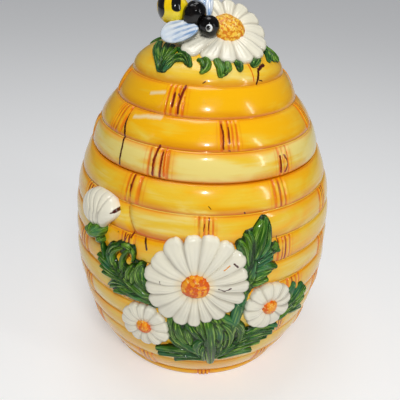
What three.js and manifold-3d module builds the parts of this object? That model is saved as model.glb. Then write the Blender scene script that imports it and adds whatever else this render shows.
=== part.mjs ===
// A beehive cookie jar in glazed earthenware. The jar and its lift-off lid are cast as stacked coils of
// straw, and daisies, leaves and a bee, each pressed in a mould of its own, are stuck on with slip.
// Lengths are millimetres and +Z is up. The origin is the middle of the foot, on the surface that the
// jar stands on. The daisies face -Y, and angles round the jar are degrees from -Y towards +X.

import * as THREE from 'three';
import { mergeVertices } from 'three/addons/utils/BufferGeometryUtils.js';
import Module from 'manifold-3d';

const wasm = await Module();
wasm.setup();

// The cast jar and lid
const bellyRadius = 94.7;
const jarHeight = 165.3;
const lidHeight = 71.7;
const coilBulge = 2.2;
const wallThickness = 5.5;
const floorThickness = 7;
const footRadius = 69;
const rimWidth = 5.4;
const seatGap = 0.3;
const flangeDepth = 10;
const flangeThickness = 4.5;
const flangeClearance = 1.2;

// What is stuck on, and how far it stands out from the crests of the coils
const glueGap = 0.3;
const overrun = 1.5;
const petalEdge = 1.6;
const petalCrest = 4.2;
const petalValley = 1.3;
const discHeight = 3.4;
const discSeat = 1.4;
const leafEdge = 1.1;
const leafCrest = 3.4;
const stalkWidth = 8;
const stemWidth = 3.6;

// Daisies
const largeDaisyRadius = 36;
const largeDiscRadius = 9;
const smallDaisyRadius = 18.2;
const smallDiscRadius = 5.6;

// The half-open bud
const budHalfWidth = 17.4;
const budHalfHeight = 12.8;
const budDepth = 9;
const calyxHalfWidth = 8.6;
const calyxHalfHeight = 6.6;
const calyxDepth = 8;
const knobRadius = 4;
const knobHeight = 5;

// Leaves on the jar, and on the cap of the lid
const leafSpan = 38;
const capLeafSpan = 13;
const capLeafThickness = 2.6;

// The daisy on the lid
const topDaisyRadius = 28;
const topDiscRadius = 11;
const topDiscHeight = 5;
const topPetalThickness = 2.8;
const topPetalDroop = 4.5;
const topPetalLift = 5;
const receptacleRadius = 13;
const receptacleDepth = 18;
const topDaisyLift = 6;

// The bee
const thoraxRadius = 8;
const thoraxHalfHeight = 9.2;
const headRadius = 6.8;
const abdomenHalfLength = 11;
const abdomenRadius = 10;
const thoraxForward = 1.2;
const thoraxDrop = 1.4;
const headReach = 13.3;
const abdomenReach = 13.4;
const headDrop = 2.1;
const abdomenDrop = 5.4;
const eyeRadius = 2.4;
const eyeDepth = 1.1;
const wingLength = 25;
const wingWidth = 18;
const wingThickness = 2.4;
const nearWingForward = 9.8;
const nearWingAside = 5;
const nearWingDrop = 6;
const farWingForward = 8;
const farWingAside = 6;
const farWingDrop = 1;

// The grooves between the coils, from the foot up, as shares of the jar's height and the belly's radius
const jarGrooveHeightShares = [0.036, 0.156, 0.275, 0.372, 0.477, 0.575, 0.676, 0.784, 0.894];
const jarGrooveRadiusShares = [0.754, 0.875, 0.941, 0.969, 1, 0.992, 0.987, 0.97, 0.925];
const seamRadiusShare = 0.841;
const lidGrooveHeightShares = [0.246, 0.47, 0.706];
const lidGrooveRadiusShares = [0.775, 0.647, 0.54];
const coilStationShares = [0.18, 0.5, 0.82];
const coilReachShares = [0.76, 1, 0.76];

// The split cane that binds the coils, and the angles at which it crosses each coil from the low ones up
const caneWidth = 10;
const caneRise = 0.6;
const caneSink = 1;
const caneStationShares = [0.06, 0.18, 0.5, 0.82, 0.94];
const caneReachShares = [0.25, 0.76, 1, 0.76, 0.25];
const jarCaneAngles = [
  [],
  [-26.3, 37, 97, 152, -148, -96],
  [-57.5, 63.5, 122, 172, -117],
  [-27, 38.5, 97, 152, -148, -96],
  [-56.3, 64.4, 122, 172, -117],
  [-27, 42, 97, 152, -148, -96],
  [-58.8, 64.4, 122, 172, -117],
  [-28.3, 34.6, 97, 152, -148, -96],
  [-55.8, 2, 64, 122, 172, -117],
  [-30, 34, 97, 152, -148, -96],
];
const lidCaneAngles = [
  [-18.7, 39.3, 99, 158, -142, -81],
  [-51.5, 12, 72, 132, -168, -110],
  [-18.8, 98, 156, -140, -78],
];

// Facets and tolerances
const turnSteps = 48;
const capSteps = 5;
const ballSteps = 6;
const petalSteps = 4;
const leafSteps = 28;
const capLeafSteps = 16;
const roundSteps = 14;
const weldDistance = 0.0005;

const rad = THREE.MathUtils.degToRad;
const seamRadius = bellyRadius * seamRadiusShare;
const mouthRadius = seamRadius - rimWidth;
const rimHeight = jarHeight - seatGap;

const jarGrooves = jarGrooveRadiusShares.map(
  (share, i) => new THREE.Vector2(bellyRadius * share, jarHeight * jarGrooveHeightShares[i]),
);
const lidGrooves = lidGrooveRadiusShares.map(
  (share, i) => new THREE.Vector2(bellyRadius * share, lidHeight * lidGrooveHeightShares[i]),
);
const cap = lidGrooves.at(-1);
const capRise = lidHeight - cap.y;
const capArc = (cap.x + capRise) / 2;

// Materials, glazed and fired
const glaze = (color, roughness) => new THREE.MeshStandardMaterial({ color, roughness, metalness: 0 });
const strawGlaze = glaze(0xe6b23c, 0.22);
const petalGlaze = glaze(0xf1efe8, 0.25);
const orangeGlaze = glaze(0xe0761c, 0.4);
const amberGlaze = glaze(0xe3a531, 0.4);
const leafGlaze = glaze(0x2c6a2c, 0.25);
const blackGlaze = glaze(0x15130f, 0.15);
const beeYellowGlaze = glaze(0xf2d31a, 0.2);
const wingGlaze = glaze(0xdfe8f0, 0.25);

// A closed three.js shape as a solid that can be cut
function solidOf(geometry) {
  const bare = geometry.clone();
  bare.deleteAttribute('normal');
  bare.deleteAttribute('uv');
  const merged = mergeVertices(bare, weldDistance);
  const vertProperties = merged.attributes.position.array;
  const triVerts = new Uint32Array(merged.index.array);
  return new wasm.Manifold(new wasm.Mesh({ numProp: 3, vertProperties, triVerts }));
}

// The largest lump of a solid, without the crumbs that a cut can leave beside it
function mainLump(solid) {
  const lumps = solid.decompose();
  return lumps.reduce((best, lump) => (lump.volume() > best.volume() ? lump : best));
}

function meshOf(name, solid, material) {
  const { vertProperties, triVerts } = solid.getMesh();
  const geometry = new THREE.BufferGeometry();
  geometry.setAttribute('position', new THREE.BufferAttribute(new Float32Array(vertProperties), 3));
  geometry.setIndex(new THREE.BufferAttribute(new Uint32Array(triVerts), 1));
  geometry.computeVertexNormals();
  const mesh = new THREE.Mesh(geometry, material);
  mesh.name = name;
  return mesh;
}

// An outline turned about Z
function turned(outline) {
  const geometry = new THREE.LatheGeometry(outline, turnSteps);
  geometry.rotateX(Math.PI / 2);
  return solidOf(geometry);
}

// A closed lump: rings of points round a first and a last point, counted outwards and then down
function lumpOf({ first, rings, last }, steps, place) {
  const points = [first];
  rings.forEach((ring) => {
    for (let i = 0; i < steps; i += 1) points.push(ring((i / steps) * 2 * Math.PI));
  });
  points.push(last);

  const at = (ring, i) => 1 + ring * steps + (i % steps);
  const index = [];
  for (let i = 0; i < steps; i += 1) {
    index.push(0, at(0, i), at(0, i + 1));
    for (let ring = 1; ring < rings.length; ring += 1) {
      index.push(at(ring - 1, i), at(ring, i), at(ring, i + 1));
      index.push(at(ring - 1, i), at(ring, i + 1), at(ring - 1, i + 1));
    }
    index.push(points.length - 1, at(rings.length - 1, i + 1), at(rings.length - 1, i));
  }
  const geometry = new THREE.BufferGeometry().setFromPoints(points.map(([u, v, w]) => place(u, v, w)));
  geometry.setIndex(index);
  return solidOf(geometry);
}

// The outline of stacked coils through their grooves
function coilOutline(grooves) {
  const outline = [grooves[0]];
  grooves.slice(1).forEach((high, i) => {
    const low = grooves[i];
    const rise = high.clone().sub(low);
    const out = new THREE.Vector2(rise.y, -rise.x).normalize();
    coilStationShares.forEach((station, k) => {
      const crest = low.clone().addScaledVector(rise, station);
      outline.push(crest.addScaledVector(out, coilBulge * coilReachShares[k]));
    });
    outline.push(high);
  });
  return outline;
}

// A strap of cane over one coil, with its back sunk in the wall
function strap(low, high, angle) {
  const rise = high.clone().sub(low);
  const out = new THREE.Vector2(rise.y, -rise.x).normalize();
  const section = caneStationShares.map((station, k) => low.clone()
    .addScaledVector(rise, station)
    .addScaledVector(out, coilBulge * caneReachShares[k] + caneRise));
  [caneStationShares[0], caneStationShares.at(-1)].forEach((station) => {
    section.push(low.clone().addScaledVector(rise, station).addScaledVector(out, -caneSink));
  });
  const half = caneWidth / (low.x + high.x);
  const turns = [-half, 0, half].map((offset) => rad(angle) + offset);
  const points = turns.flatMap((turn) => (
    section.map(({ x, y }) => [x * Math.sin(turn), -x * Math.cos(turn), y])
  ));
  return wasm.Manifold.hull(points);
}

// A shell with cane straps round its coils, cut clear of what is stuck on over them
function bound(shell, grooves, angles, pieces) {
  const straps = angles.flatMap((crossings, i) => (
    crossings.map((angle) => strap(grooves[i], grooves[i + 1], angle))
  ));
  const clear = pieces.reduce(
    (rest, { shape, steps, place }) => rest.subtract(lumpOf(shape(glueGap), steps, place)),
    wasm.Manifold.union(straps),
  );
  return shell.add(clear);
}

// The inside of the wall, opposite each groove that has a groove on both sides of it
function innerWall(grooves) {
  return grooves.slice(1, -1).map((groove, i) => {
    const run = grooves[i + 2].clone().sub(grooves[i]).normalize();
    return new THREE.Vector2(groove.x - run.y * wallThickness, groove.y + run.x * wallThickness);
  });
}

// Jar: flat foot, coils, rim, and the hollow down to the floor
const footEdge = new THREE.Vector2(footRadius, 0);
const rimEdge = new THREE.Vector2(seamRadius, rimHeight);
const jarStack = [footEdge, ...jarGrooves, rimEdge];
const jarOutside = coilOutline(jarStack);
const jarBody = turned([
  new THREE.Vector2(0, 0),
  ...jarOutside,
  new THREE.Vector2(mouthRadius, rimHeight),
  ...innerWall(jarStack.slice(1)).reverse(),
  new THREE.Vector2(jarGrooves[0].x - wallThickness, floorThickness),
  new THREE.Vector2(0, floorThickness),
]);

// Lid: coils and cap outside, hollow inside, and the flange that keeps it centred in the mouth
const arc = (radius, rise, base) => Array.from({ length: capSteps + 1 }, (_, i) => {
  const angle = (i / capSteps) * (Math.PI / 2);
  return new THREE.Vector2(i === capSteps ? 0 : radius * Math.cos(angle), base + rise * Math.sin(angle));
});
const lidEdge = new THREE.Vector2(seamRadius, 0);
const lidStack = [lidEdge, ...lidGrooves];
const capOutline = arc(cap.x, capRise, cap.y);
const flangeOuter = mouthRadius - flangeClearance;
const flangeInner = flangeOuter - flangeThickness;
const lidShell = turned([
  ...arc(cap.x - wallThickness, capRise - wallThickness, cap.y).reverse(),
  ...innerWall(lidStack).reverse(),
  new THREE.Vector2(flangeInner, wallThickness),
  new THREE.Vector2(flangeInner, -flangeDepth),
  new THREE.Vector2(flangeOuter, -flangeDepth),
  new THREE.Vector2(flangeOuter, 0),
  ...coilOutline(lidStack),
  ...capOutline.slice(1),
]);

// The line over the crests of the coils, one point a coil, grown by the slip that holds what is stuck on
function crestLine(grooves) {
  return grooves.slice(1).map((high, i) => {
    const low = grooves[i];
    const rise = high.clone().sub(low);
    const out = new THREE.Vector2(rise.y, -rise.x).normalize();
    return low.clone().lerp(high, 1 / 2).addScaledVector(out, coilBulge + glueGap);
  });
}

// What cuts the backs of the pieces that are stuck on
const jarCrests = crestLine(jarStack);
const jarSkin = turned([
  new THREE.Vector2(0, jarCrests[0].y),
  ...jarCrests,
  new THREE.Vector2(0, jarCrests.at(-1).y),
]);
const lidSkin = turned([
  new THREE.Vector2(0, 0),
  new THREE.Vector2(seamRadius, 0),
  ...crestLine(lidStack),
  ...capOutline.slice(1, -1).map((point) => new THREE.Vector2(point.x + glueGap, point.y + glueGap)),
  new THREE.Vector2(0, lidHeight + glueGap),
]);

// The jar's side unrolled: across is the arc at the belly, up is the height, out starts at the crests
const jarSide = {
  at: (theta, heightShare) => new THREE.Vector2(rad(theta) * bellyRadius, heightShare * jarHeight),
  place(across, up, out) {
    const high = Math.max(1, jarStack.findIndex((groove) => groove.y >= up));
    const [below, above] = [jarStack[high - 1], jarStack[high]];
    const share = (up - below.y) / (above.y - below.y);
    const radius = THREE.MathUtils.lerp(below.x, above.x, share) + coilBulge + out;
    const turn = across / bellyRadius;
    return new THREE.Vector3(radius * Math.sin(turn), -radius * Math.cos(turn), up);
  },
};

// The lid's cap unrolled in the same way: up is the arc from the crown, which counts as nought
const capSide = {
  at: (theta, tilt) => new THREE.Vector2(rad(theta) * cap.x, -rad(tilt) * capArc),
  place(across, up, out) {
    const tilt = -up / capArc;
    const radius = (cap.x + out) * Math.sin(tilt);
    const turn = across / cap.x;
    const height = cap.y + (capRise + out) * Math.cos(tilt);
    return new THREE.Vector3(radius * Math.sin(turn), -radius * Math.cos(turn), height);
  },
};

// A flat place for a shape, given by a matrix
const flatAt = (matrix) => (u, v, w) => new THREE.Vector3(u, v, w).applyMatrix4(matrix);

// The same place with its middle moved
const movedTo = (middle, place) => (u, v, w) => place(middle.x + u, middle.y + v, w);

const polar = (radius, angle, out) => [radius * Math.cos(angle), radius * Math.sin(angle), out];

// The petals of a daisy: each tip's angle in degrees, and its reach as a share of the daisy's radius
const evenTips = (petals) => Array.from({ length: petals }, (_, i) => [(i * 360) / petals, 1]);
const largeDaisyTipShares = [
  [12, 0.92], [37, 1], [56, 1], [73, 0.99], [97, 0.95], [116, 0.97], [148, 0.89], [172, 0.92], [192, 0.9],
  [211, 0.94], [232, 0.94], [253, 0.94], [270, 0.92], [286, 0.85], [303, 0.87], [322, 0.86], [338, 0.93],
  [357, 0.94],
];

// A ring of petals: the valleys between them are lower and shorter than the ribs at their tips
const petalNotchShare = 0.1;
function petalRing(tips, radius, reachShare, out, valley, grow) {
  return (angle) => {
    const turn = (angle / (2 * Math.PI)) * tips.length;
    const i = Math.floor(turn);
    const [tip, tipShare] = tips[i % tips.length];
    const [next, nextShare] = tips[(i + 1) % tips.length];
    const gap = (next - tip + 360) % 360;
    const low = 1 - Math.abs(Math.cos(Math.PI * turn));
    const tipReach = radius * reachShare * THREE.MathUtils.lerp(tipShare, nextShare, turn - i);
    const reach = tipReach * (1 - petalNotchShare * reachShare * low) + grow;
    return polar(reach, rad(tip + gap * (turn - i)), out - valley * low + grow);
  };
}

// The back of a stuck-on piece, deep enough that the cut by the skin shapes all of it
const backDepth = -(coilBulge + overrun);

const innerRingShare = 0.36;
const middleRingShare = 0.7;
function daisyPetals(tips, radius) {
  return (grow) => ({
    first: [0, 0, petalCrest - petalValley + grow],
    rings: [
      petalRing(tips, radius, innerRingShare, petalCrest, petalValley / 2, grow),
      petalRing(tips, radius, middleRingShare, petalCrest, petalValley, grow),
      petalRing(tips, radius, 1, petalEdge, 0, grow),
      petalRing(tips, radius, 1, backDepth, 0, grow),
    ],
    last: [0, 0, backDepth],
  });
}

// A domed piece, from its foot ring up to its crown
const domeShares = [0.5, 0.87];
function dome(halfWidth, halfHeight, foot, crown) {
  return (grow) => {
    const round = (share, out) => (angle) => [
      (halfWidth * share + grow) * Math.cos(angle),
      (halfHeight * share + grow) * Math.sin(angle),
      out + grow,
    ];
    const level = (share) => foot + (crown - foot) * Math.sqrt(1 - share * share);
    return {
      first: [0, 0, crown + grow],
      rings: [
        ...domeShares.map((share) => round(share, level(share))),
        round(1, foot + overrun / 2),
        round(1, foot - 2 * grow),
      ],
      last: [0, 0, foot - grow],
    };
  };
}

function discOn(radius) {
  const foot = petalCrest - petalValley - discSeat;
  return dome(radius, radius, foot, foot + discSeat + discHeight);
}

// A lobed leaf from its stalk to its tip, along a midrib that bends to one side
const lobeSweepShare = 0.16;
const leafMiddleShare = 0.55;
const stalkBlendShare = 0.22;
const jarLobeDepthShare = 0.34;
const capLobeDepthShare = 0.22;
const capLeafLobes = 2;
function leafShape({ from, to, span, lobes, lobeDepthShare, bendShare, stalkShare, stalk, ...levels }) {
  const { edge, crest, back } = levels;
  const run = to.clone().sub(from);
  const side = new THREE.Vector2(-run.y, run.x);
  const bend = from.clone().lerp(to, 1 / 2).addScaledVector(side, bendShare);
  const midrib = new THREE.QuadraticBezierCurve(from, bend, to);
  return (grow) => {
    const ring = (reach, out) => (angle) => {
      const along = (1 - reach * Math.cos(angle)) / 2;
      const across = -reach * Math.sin(angle);
      const swept = Math.min(1, along + lobeSweepShare * Math.abs(across) * (1 - along));
      const lobe = 1 - lobeDepthShare * (1 + Math.cos(2 * Math.PI * lobes * along)) / 2;
      const blade = THREE.MathUtils.smoothstep(along, stalkShare, stalkShare + stalkBlendShare);
      const half = THREE.MathUtils.lerp(stalk / 2, (span / 2) * lobe, blade) + grow;
      const point = midrib.getPoint(swept);
      const normal = midrib.getTangent(swept);
      return [point.x - normal.y * half * across, point.y + normal.x * half * across, out + grow];
    };
    const middle = midrib.getPoint(1 / 2);
    return {
      first: [middle.x, middle.y, crest - (crest - edge) / 2 + grow],
      rings: [ring(leafMiddleShare, crest), ring(1, edge), ring(1, back)],
      last: [middle.x, middle.y, back],
    };
  };
}

const jarLeaf = (from, to, spanShare, lobes, bendShare, stalkShare, stalk = stalkWidth) => leafShape({
  from: jarSide.at(...from),
  to: jarSide.at(...to),
  span: leafSpan * spanShare,
  lobes,
  lobeDepthShare: jarLobeDepthShare,
  bendShare,
  stalkShare,
  stalk,
  edge: leafEdge,
  crest: leafCrest,
  back: backDepth,
});

const capLeaf = (from, to, spanShare, bendShare) => leafShape({
  from: capSide.at(...from),
  to: capSide.at(...to),
  span: capLeafSpan * spanShare,
  lobes: capLeafLobes,
  lobeDepthShare: capLobeDepthShare,
  bendShare,
  stalkShare: 0,
  stalk: capLeafSpan * spanShare * leafMiddleShare,
  edge: capLeafThickness / 2,
  crest: capLeafThickness,
  back: -overrun,
});

// Sets pieces on a skin in order: each is cut by the skin and by the pieces before it, grown by the slip
function setOn(skin, pieces) {
  const group = new THREE.Group();
  const laid = [];
  pieces.forEach(({ name, material, shape, steps, place }) => {
    const lump = lumpOf(shape(0), steps, place).subtract(skin);
    const solid = laid.reduce((rest, cutter) => rest.subtract(cutter), lump);
    laid.push(lumpOf(shape(glueGap), steps, place));
    group.add(meshOf(name, mainLump(solid), material));
  });
  return group;
}

// The three daisies on the jar, each a ring of petals and a disc
const daisies = [
  {
    name: 'large_daisy',
    angle: -1.1,
    heightShare: 0.622,
    tips: largeDaisyTipShares,
    radius: largeDaisyRadius,
    discRadius: largeDiscRadius,
  },
  {
    name: 'left_daisy',
    angle: -21.4,
    heightShare: 0.376,
    tips: evenTips(12),
    radius: smallDaisyRadius,
    discRadius: smallDiscRadius,
  },
  {
    name: 'right_daisy',
    angle: 29,
    heightShare: 0.483,
    tips: evenTips(11),
    radius: smallDaisyRadius,
    discRadius: smallDiscRadius,
  },
];
const daisyPieces = daisies.flatMap(({ name, angle, heightShare, tips, radius, discRadius }) => {
  const place = movedTo(jarSide.at(angle, heightShare), jarSide.place);
  return [
    { name: `${name}_disc`, material: orangeGlaze, shape: discOn(discRadius), steps: roundSteps, place },
    {
      name: `${name}_petals`,
      material: petalGlaze,
      shape: daisyPetals(tips, radius),
      steps: tips.length * petalSteps,
      place,
    },
  ];
});

// The bud, its calyx and the knob that joins it to its stem: angle and share of the jar's height
const budAtShares = [-44.5, 0.83];
const calyxAtShares = [-45.2, 0.757];
const knobAtShares = [-41.9, 0.715];
const stemTopShares = [-41.8, 0.7];
const stemFootShares = [-40, 0.635];
const stemBendShare = 0.05;
const budPieces = [
  {
    name: 'bud_calyx',
    material: leafGlaze,
    shape: dome(calyxHalfWidth, calyxHalfHeight, backDepth, calyxDepth),
    steps: roundSteps,
    place: movedTo(jarSide.at(...calyxAtShares), jarSide.place),
  },
  {
    name: 'bud_knob',
    material: leafGlaze,
    shape: dome(knobRadius, knobRadius, backDepth, knobHeight),
    steps: roundSteps,
    place: movedTo(jarSide.at(...knobAtShares), jarSide.place),
  },
  {
    name: 'bud_petals',
    material: petalGlaze,
    shape: dome(budHalfWidth, budHalfHeight, backDepth, budDepth),
    steps: roundSteps,
    place: movedTo(jarSide.at(...budAtShares), jarSide.place),
  },
  {
    name: 'bud_stem',
    material: leafGlaze,
    shape: jarLeaf(stemTopShares, stemFootShares, 0, 1, stemBendShare, 1, stemWidth),
    steps: leafSteps,
    place: jarSide.place,
  },
];

// Leaves on the jar: stalk and tip as angle and share of the height, span share, lobes, bend, stalk
const jarLeafShares = [
  ['low_middle_leaf', [2, 0.58], [7.4, 0.158], 1.4, 4, 0.04, 0],
  ['low_left_leaf', [2.5, 0.29], [-18.3, 0.225], 0.75, 3, -0.12, 0],
  ['low_right_leaf', [8, 0.26], [35.5, 0.325], 0.7, 3, -0.1, 0],
  ['left_leaf', [-18.5, 0.5], [-43.5, 0.665], 1.2, 3, 0.04, 0],
  ['upper_right_leaf', [13.5, 0.35], [26.4, 0.88], 0.95, 3, -0.05, 0.25],
  ['far_right_leaf', [38.5, 0.385], [49.5, 0.505], 0.78, 2, 0.05, 0],
];
const leafPieces = jarLeafShares.map(([name, ...shape]) => ({
  name,
  material: leafGlaze,
  shape: jarLeaf(...shape),
  steps: leafSteps,
  place: jarSide.place,
}));

// The daisy on the lid leans to the front on a thick base, right of the crown and before it. Its petals
// droop at both sides, and in front they bend up to lie on the cap.
const topDaisyRightShare = 0.219;
const topDaisyFrontShare = 0.2933;
const topDaisyMiddle = new THREE.Vector3(
  cap.x * topDaisyRightShare,
  -cap.x * topDaisyFrontShare,
  lidHeight + topDaisyLift,
);
const topDaisyTilt = 41;
const topDaisyTurn = 16.3;
const topDaisyReachShares = [0.95, 0.93, 0.9, 0.86, 0.86, 0.93, 1, 1.24, 1.22, 1.08, 1.02, 1.04, 1.02, 0.98];
const topDaisyTips = topDaisyReachShares.map((share, i, { length }) => [(i * 360) / length, share]);
const middleBendShare = 0.33;
const topDaisyPlace = new THREE.Matrix4()
  .makeTranslation(topDaisyMiddle)
  .multiply(new THREE.Matrix4().makeRotationZ(rad(topDaisyTurn)))
  .multiply(new THREE.Matrix4().makeRotationX(rad(topDaisyTilt)));

function topDaisyPetals(grow) {
  const bent = (ring, grip) => (angle) => {
    const [u, v, w] = ring(angle);
    const front = Math.max(0, -Math.sin(angle));
    return [u, v, w + grip * (topPetalLift * front ** 2 - topPetalDroop * Math.cos(angle) ** 2)];
  };
  const middle = petalRing(topDaisyTips, topDaisyRadius, middleRingShare, petalCrest, petalValley, grow);
  const over = petalRing(topDaisyTips, topDaisyRadius, 1, petalEdge / 2, 0, grow);
  const under = petalRing(topDaisyTips, topDaisyRadius, 1, petalEdge / 2 - topPetalThickness, 0, 0);
  return {
    first: [0, 0, petalCrest - petalValley + grow],
    rings: [
      petalRing(topDaisyTips, topDaisyRadius, innerRingShare, petalCrest, petalValley / 2, grow),
      bent(middle, middleBendShare),
      bent(over, 1),
      bent(under, 1),
      (angle) => polar(receptacleRadius, angle, -topPetalThickness),
      (angle) => polar(receptacleRadius, angle, -receptacleDepth),
    ],
    last: [0, 0, -receptacleDepth],
  };
}

const topDiscFoot = petalCrest - petalValley - discSeat;
const topDaisyPieces = [
  {
    name: 'top_daisy_disc',
    material: amberGlaze,
    shape: dome(topDiscRadius, topDiscRadius, topDiscFoot, topDiscFoot + discSeat + topDiscHeight),
    steps: roundSteps,
    place: flatAt(topDaisyPlace),
  },
  {
    name: 'top_daisy_petals',
    material: petalGlaze,
    shape: topDaisyPetals,
    steps: topDaisyTips.length * petalSteps,
    place: flatAt(topDaisyPlace),
  },
];

// The bee heads down to the daisy's disc: its own frame has +X forwards and +Z up its back
const beeShares = new THREE.Vector3(-1.955, -0.4546, 1.0454);
const beeMiddle = topDaisyMiddle.clone().addScaledVector(beeShares, topDiscRadius);
const beeHeading = new THREE.Vector3(0.82, -0.41, -0.41);
const beeSide = new THREE.Vector3(0.368, 0.911, -0.184);

function frameAt(origin, forward, side) {
  const x = forward.clone().normalize();
  const z = x.clone().cross(side).normalize();
  return new THREE.Matrix4().makeBasis(x, z.clone().cross(x), z).setPosition(origin);
}

const beeFrame = frameAt(beeMiddle, beeHeading, beeSide);

// A ball of three half sizes, with its poles up and down
function ball(halfLength, halfWidth, halfHeight) {
  return (grow) => {
    const round = (tilt) => (angle) => [
      (halfLength + grow) * Math.sin(tilt) * Math.cos(angle),
      (halfWidth + grow) * Math.sin(tilt) * Math.sin(angle),
      (halfHeight + grow) * Math.cos(tilt),
    ];
    return {
      first: [0, 0, halfHeight + grow],
      rings: Array.from({ length: ballSteps - 1 }, (_, i) => round(((i + 1) / ballSteps) * Math.PI)),
      last: [0, 0, -halfHeight - grow],
    };
  };
}

const beePlace = (x, y, z) => flatAt(beeFrame.clone().multiply(new THREE.Matrix4().makeTranslation(x, y, z)));

// A wing is a rounded blade, widest near its tip
const wingWaistShare = 0.58;
function wing(grow) {
  const blade = (reach, out) => (angle) => {
    const along = (1 - reach * Math.cos(angle)) / 2;
    const half = (wingWidth / 2) * THREE.MathUtils.lerp(wingWaistShare, 1, along) + grow;
    return [wingLength * along, -half * reach * Math.sin(angle), out];
  };
  return {
    first: [wingLength / 2, 0, wingThickness / 2 + grow],
    rings: [
      blade(leafMiddleShare, wingThickness / 2 + grow),
      blade(1, 0),
      blade(leafMiddleShare, -wingThickness / 2 - grow),
    ],
    last: [wingLength / 2, 0, -wingThickness / 2 - grow],
  };
}

function wingPlace(root, forward, side) {
  const origin = new THREE.Vector3(...root).applyMatrix4(beeFrame);
  return flatAt(frameAt(origin, new THREE.Vector3(...forward), new THREE.Vector3(...side)));
}
const nearWingRoot = [nearWingForward, -nearWingAside, -nearWingDrop];
const nearWingHeading = [-0.96, 0.2, -0.2];
const nearWingSide = [0.1, -0.55, -0.8];
const farWingRoot = [farWingForward, farWingAside, -farWingDrop];
const farWingHeading = [-0.25, 0.25, 0.93];
const farWingSide = [0.9, 0.2, 0.2];

const eyeSpreadShare = 0.8;
const eyeForwardShare = 0.42;
const eyeSpread = headRadius * eyeSpreadShare;
const eyeForward = headReach + headRadius * eyeForwardShare;
const beePieces = [
  {
    name: 'bee_near_eye',
    material: blackGlaze,
    shape: ball(eyeRadius, eyeDepth + overrun, eyeRadius),
    place: beePlace(eyeForward, -eyeSpread, -headDrop),
  },
  {
    name: 'bee_far_eye',
    material: blackGlaze,
    shape: ball(eyeRadius, eyeDepth + overrun, eyeRadius),
    place: beePlace(eyeForward, eyeSpread, -headDrop),
  },
  {
    name: 'bee_head',
    material: blackGlaze,
    shape: ball(headRadius, headRadius, headRadius),
    place: beePlace(headReach, 0, -headDrop),
  },
  {
    name: 'bee_thorax',
    material: blackGlaze,
    shape: ball(thoraxRadius, thoraxRadius, thoraxHalfHeight),
    place: beePlace(thoraxForward, 0, -thoraxDrop),
  },
  {
    name: 'bee_abdomen',
    material: beeYellowGlaze,
    shape: ball(abdomenHalfLength, abdomenRadius, abdomenRadius),
    place: beePlace(-abdomenReach, 0, -abdomenDrop),
  },
  {
    name: 'bee_near_wing',
    material: wingGlaze,
    shape: wing,
    place: wingPlace(nearWingRoot, nearWingHeading, nearWingSide),
  },
  {
    name: 'bee_far_wing',
    material: wingGlaze,
    shape: wing,
    place: wingPlace(farWingRoot, farWingHeading, farWingSide),
  },
].map((piece) => ({ steps: roundSteps, ...piece }));

// Leaves under the top daisy: stalk and tip as angles round and down the cap, span share, bend
const capLeafShares = [
  ['cap_leaf_1', [-60, 37], [-39, 75], 1.7, -0.1],
  ['cap_leaf_2', [-34, 39], [-14, 66], 1, 0.3],
  ['cap_leaf_3', [-3, 48], [-5, 69], 0.95, -0.1],
  ['cap_leaf_4', [13, 48], [9, 75], 1.2, 0.12],
  ['cap_leaf_5', [23, 49], [26, 68], 0.85, 0.1],
  ['cap_leaf_6', [52, 40], [38, 63], 0.85, 0.1],
  ['cap_leaf_7', [79, 36], [75, 66], 1.35, 0],
  ['cap_leaf_8', [122, 43], [125, 71], 1.1, 0.1],
  ['cap_leaf_9', [164, 34], [162, 70], 1.15, -0.1],
  ['cap_leaf_10', [-158, 34], [-160, 70], 1.15, 0.1],
  ['cap_leaf_11', [-128, 45], [-126, 72], 1.1, -0.1],
];
const capLeafPieces = capLeafShares.map(([name, ...shape]) => ({
  name,
  material: leafGlaze,
  shape: capLeaf(...shape),
  steps: capLeafSteps,
  place: capSide.place,
}));

// The jar and, on its rim, the lid
const jarPieces = [...daisyPieces, ...budPieces, ...leafPieces];
const jar = setOn(jarSkin, jarPieces);
jar.add(meshOf('jar_body', bound(jarBody, jarStack, jarCaneAngles, jarPieces), strawGlaze));

const lidPieces = [...beePieces, ...topDaisyPieces, ...capLeafPieces];
const lid = setOn(lidSkin, lidPieces);
lid.add(meshOf('lid_shell', bound(lidShell, lidStack, lidCaneAngles, lidPieces), strawGlaze));
lid.position.z = jarHeight;

const cookieJar = new THREE.Group();
cookieJar.add(jar, lid);

export default cookieJar;
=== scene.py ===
# A beehive cookie jar in glazed earthenware, with a lift-off lid, daisies, leaves and a bee.
# The script follows the jar as it is put together: the cast jar and lid, the flowers and leaves that
# are luted on, the bee, and then the floor, the light and the camera. Sizes are millimetres, angles
# round the jar are degrees from the front towards the right, and the origin is the middle of the foot.

import bpy
import numpy as np
from mathutils import Matrix, Vector


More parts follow.
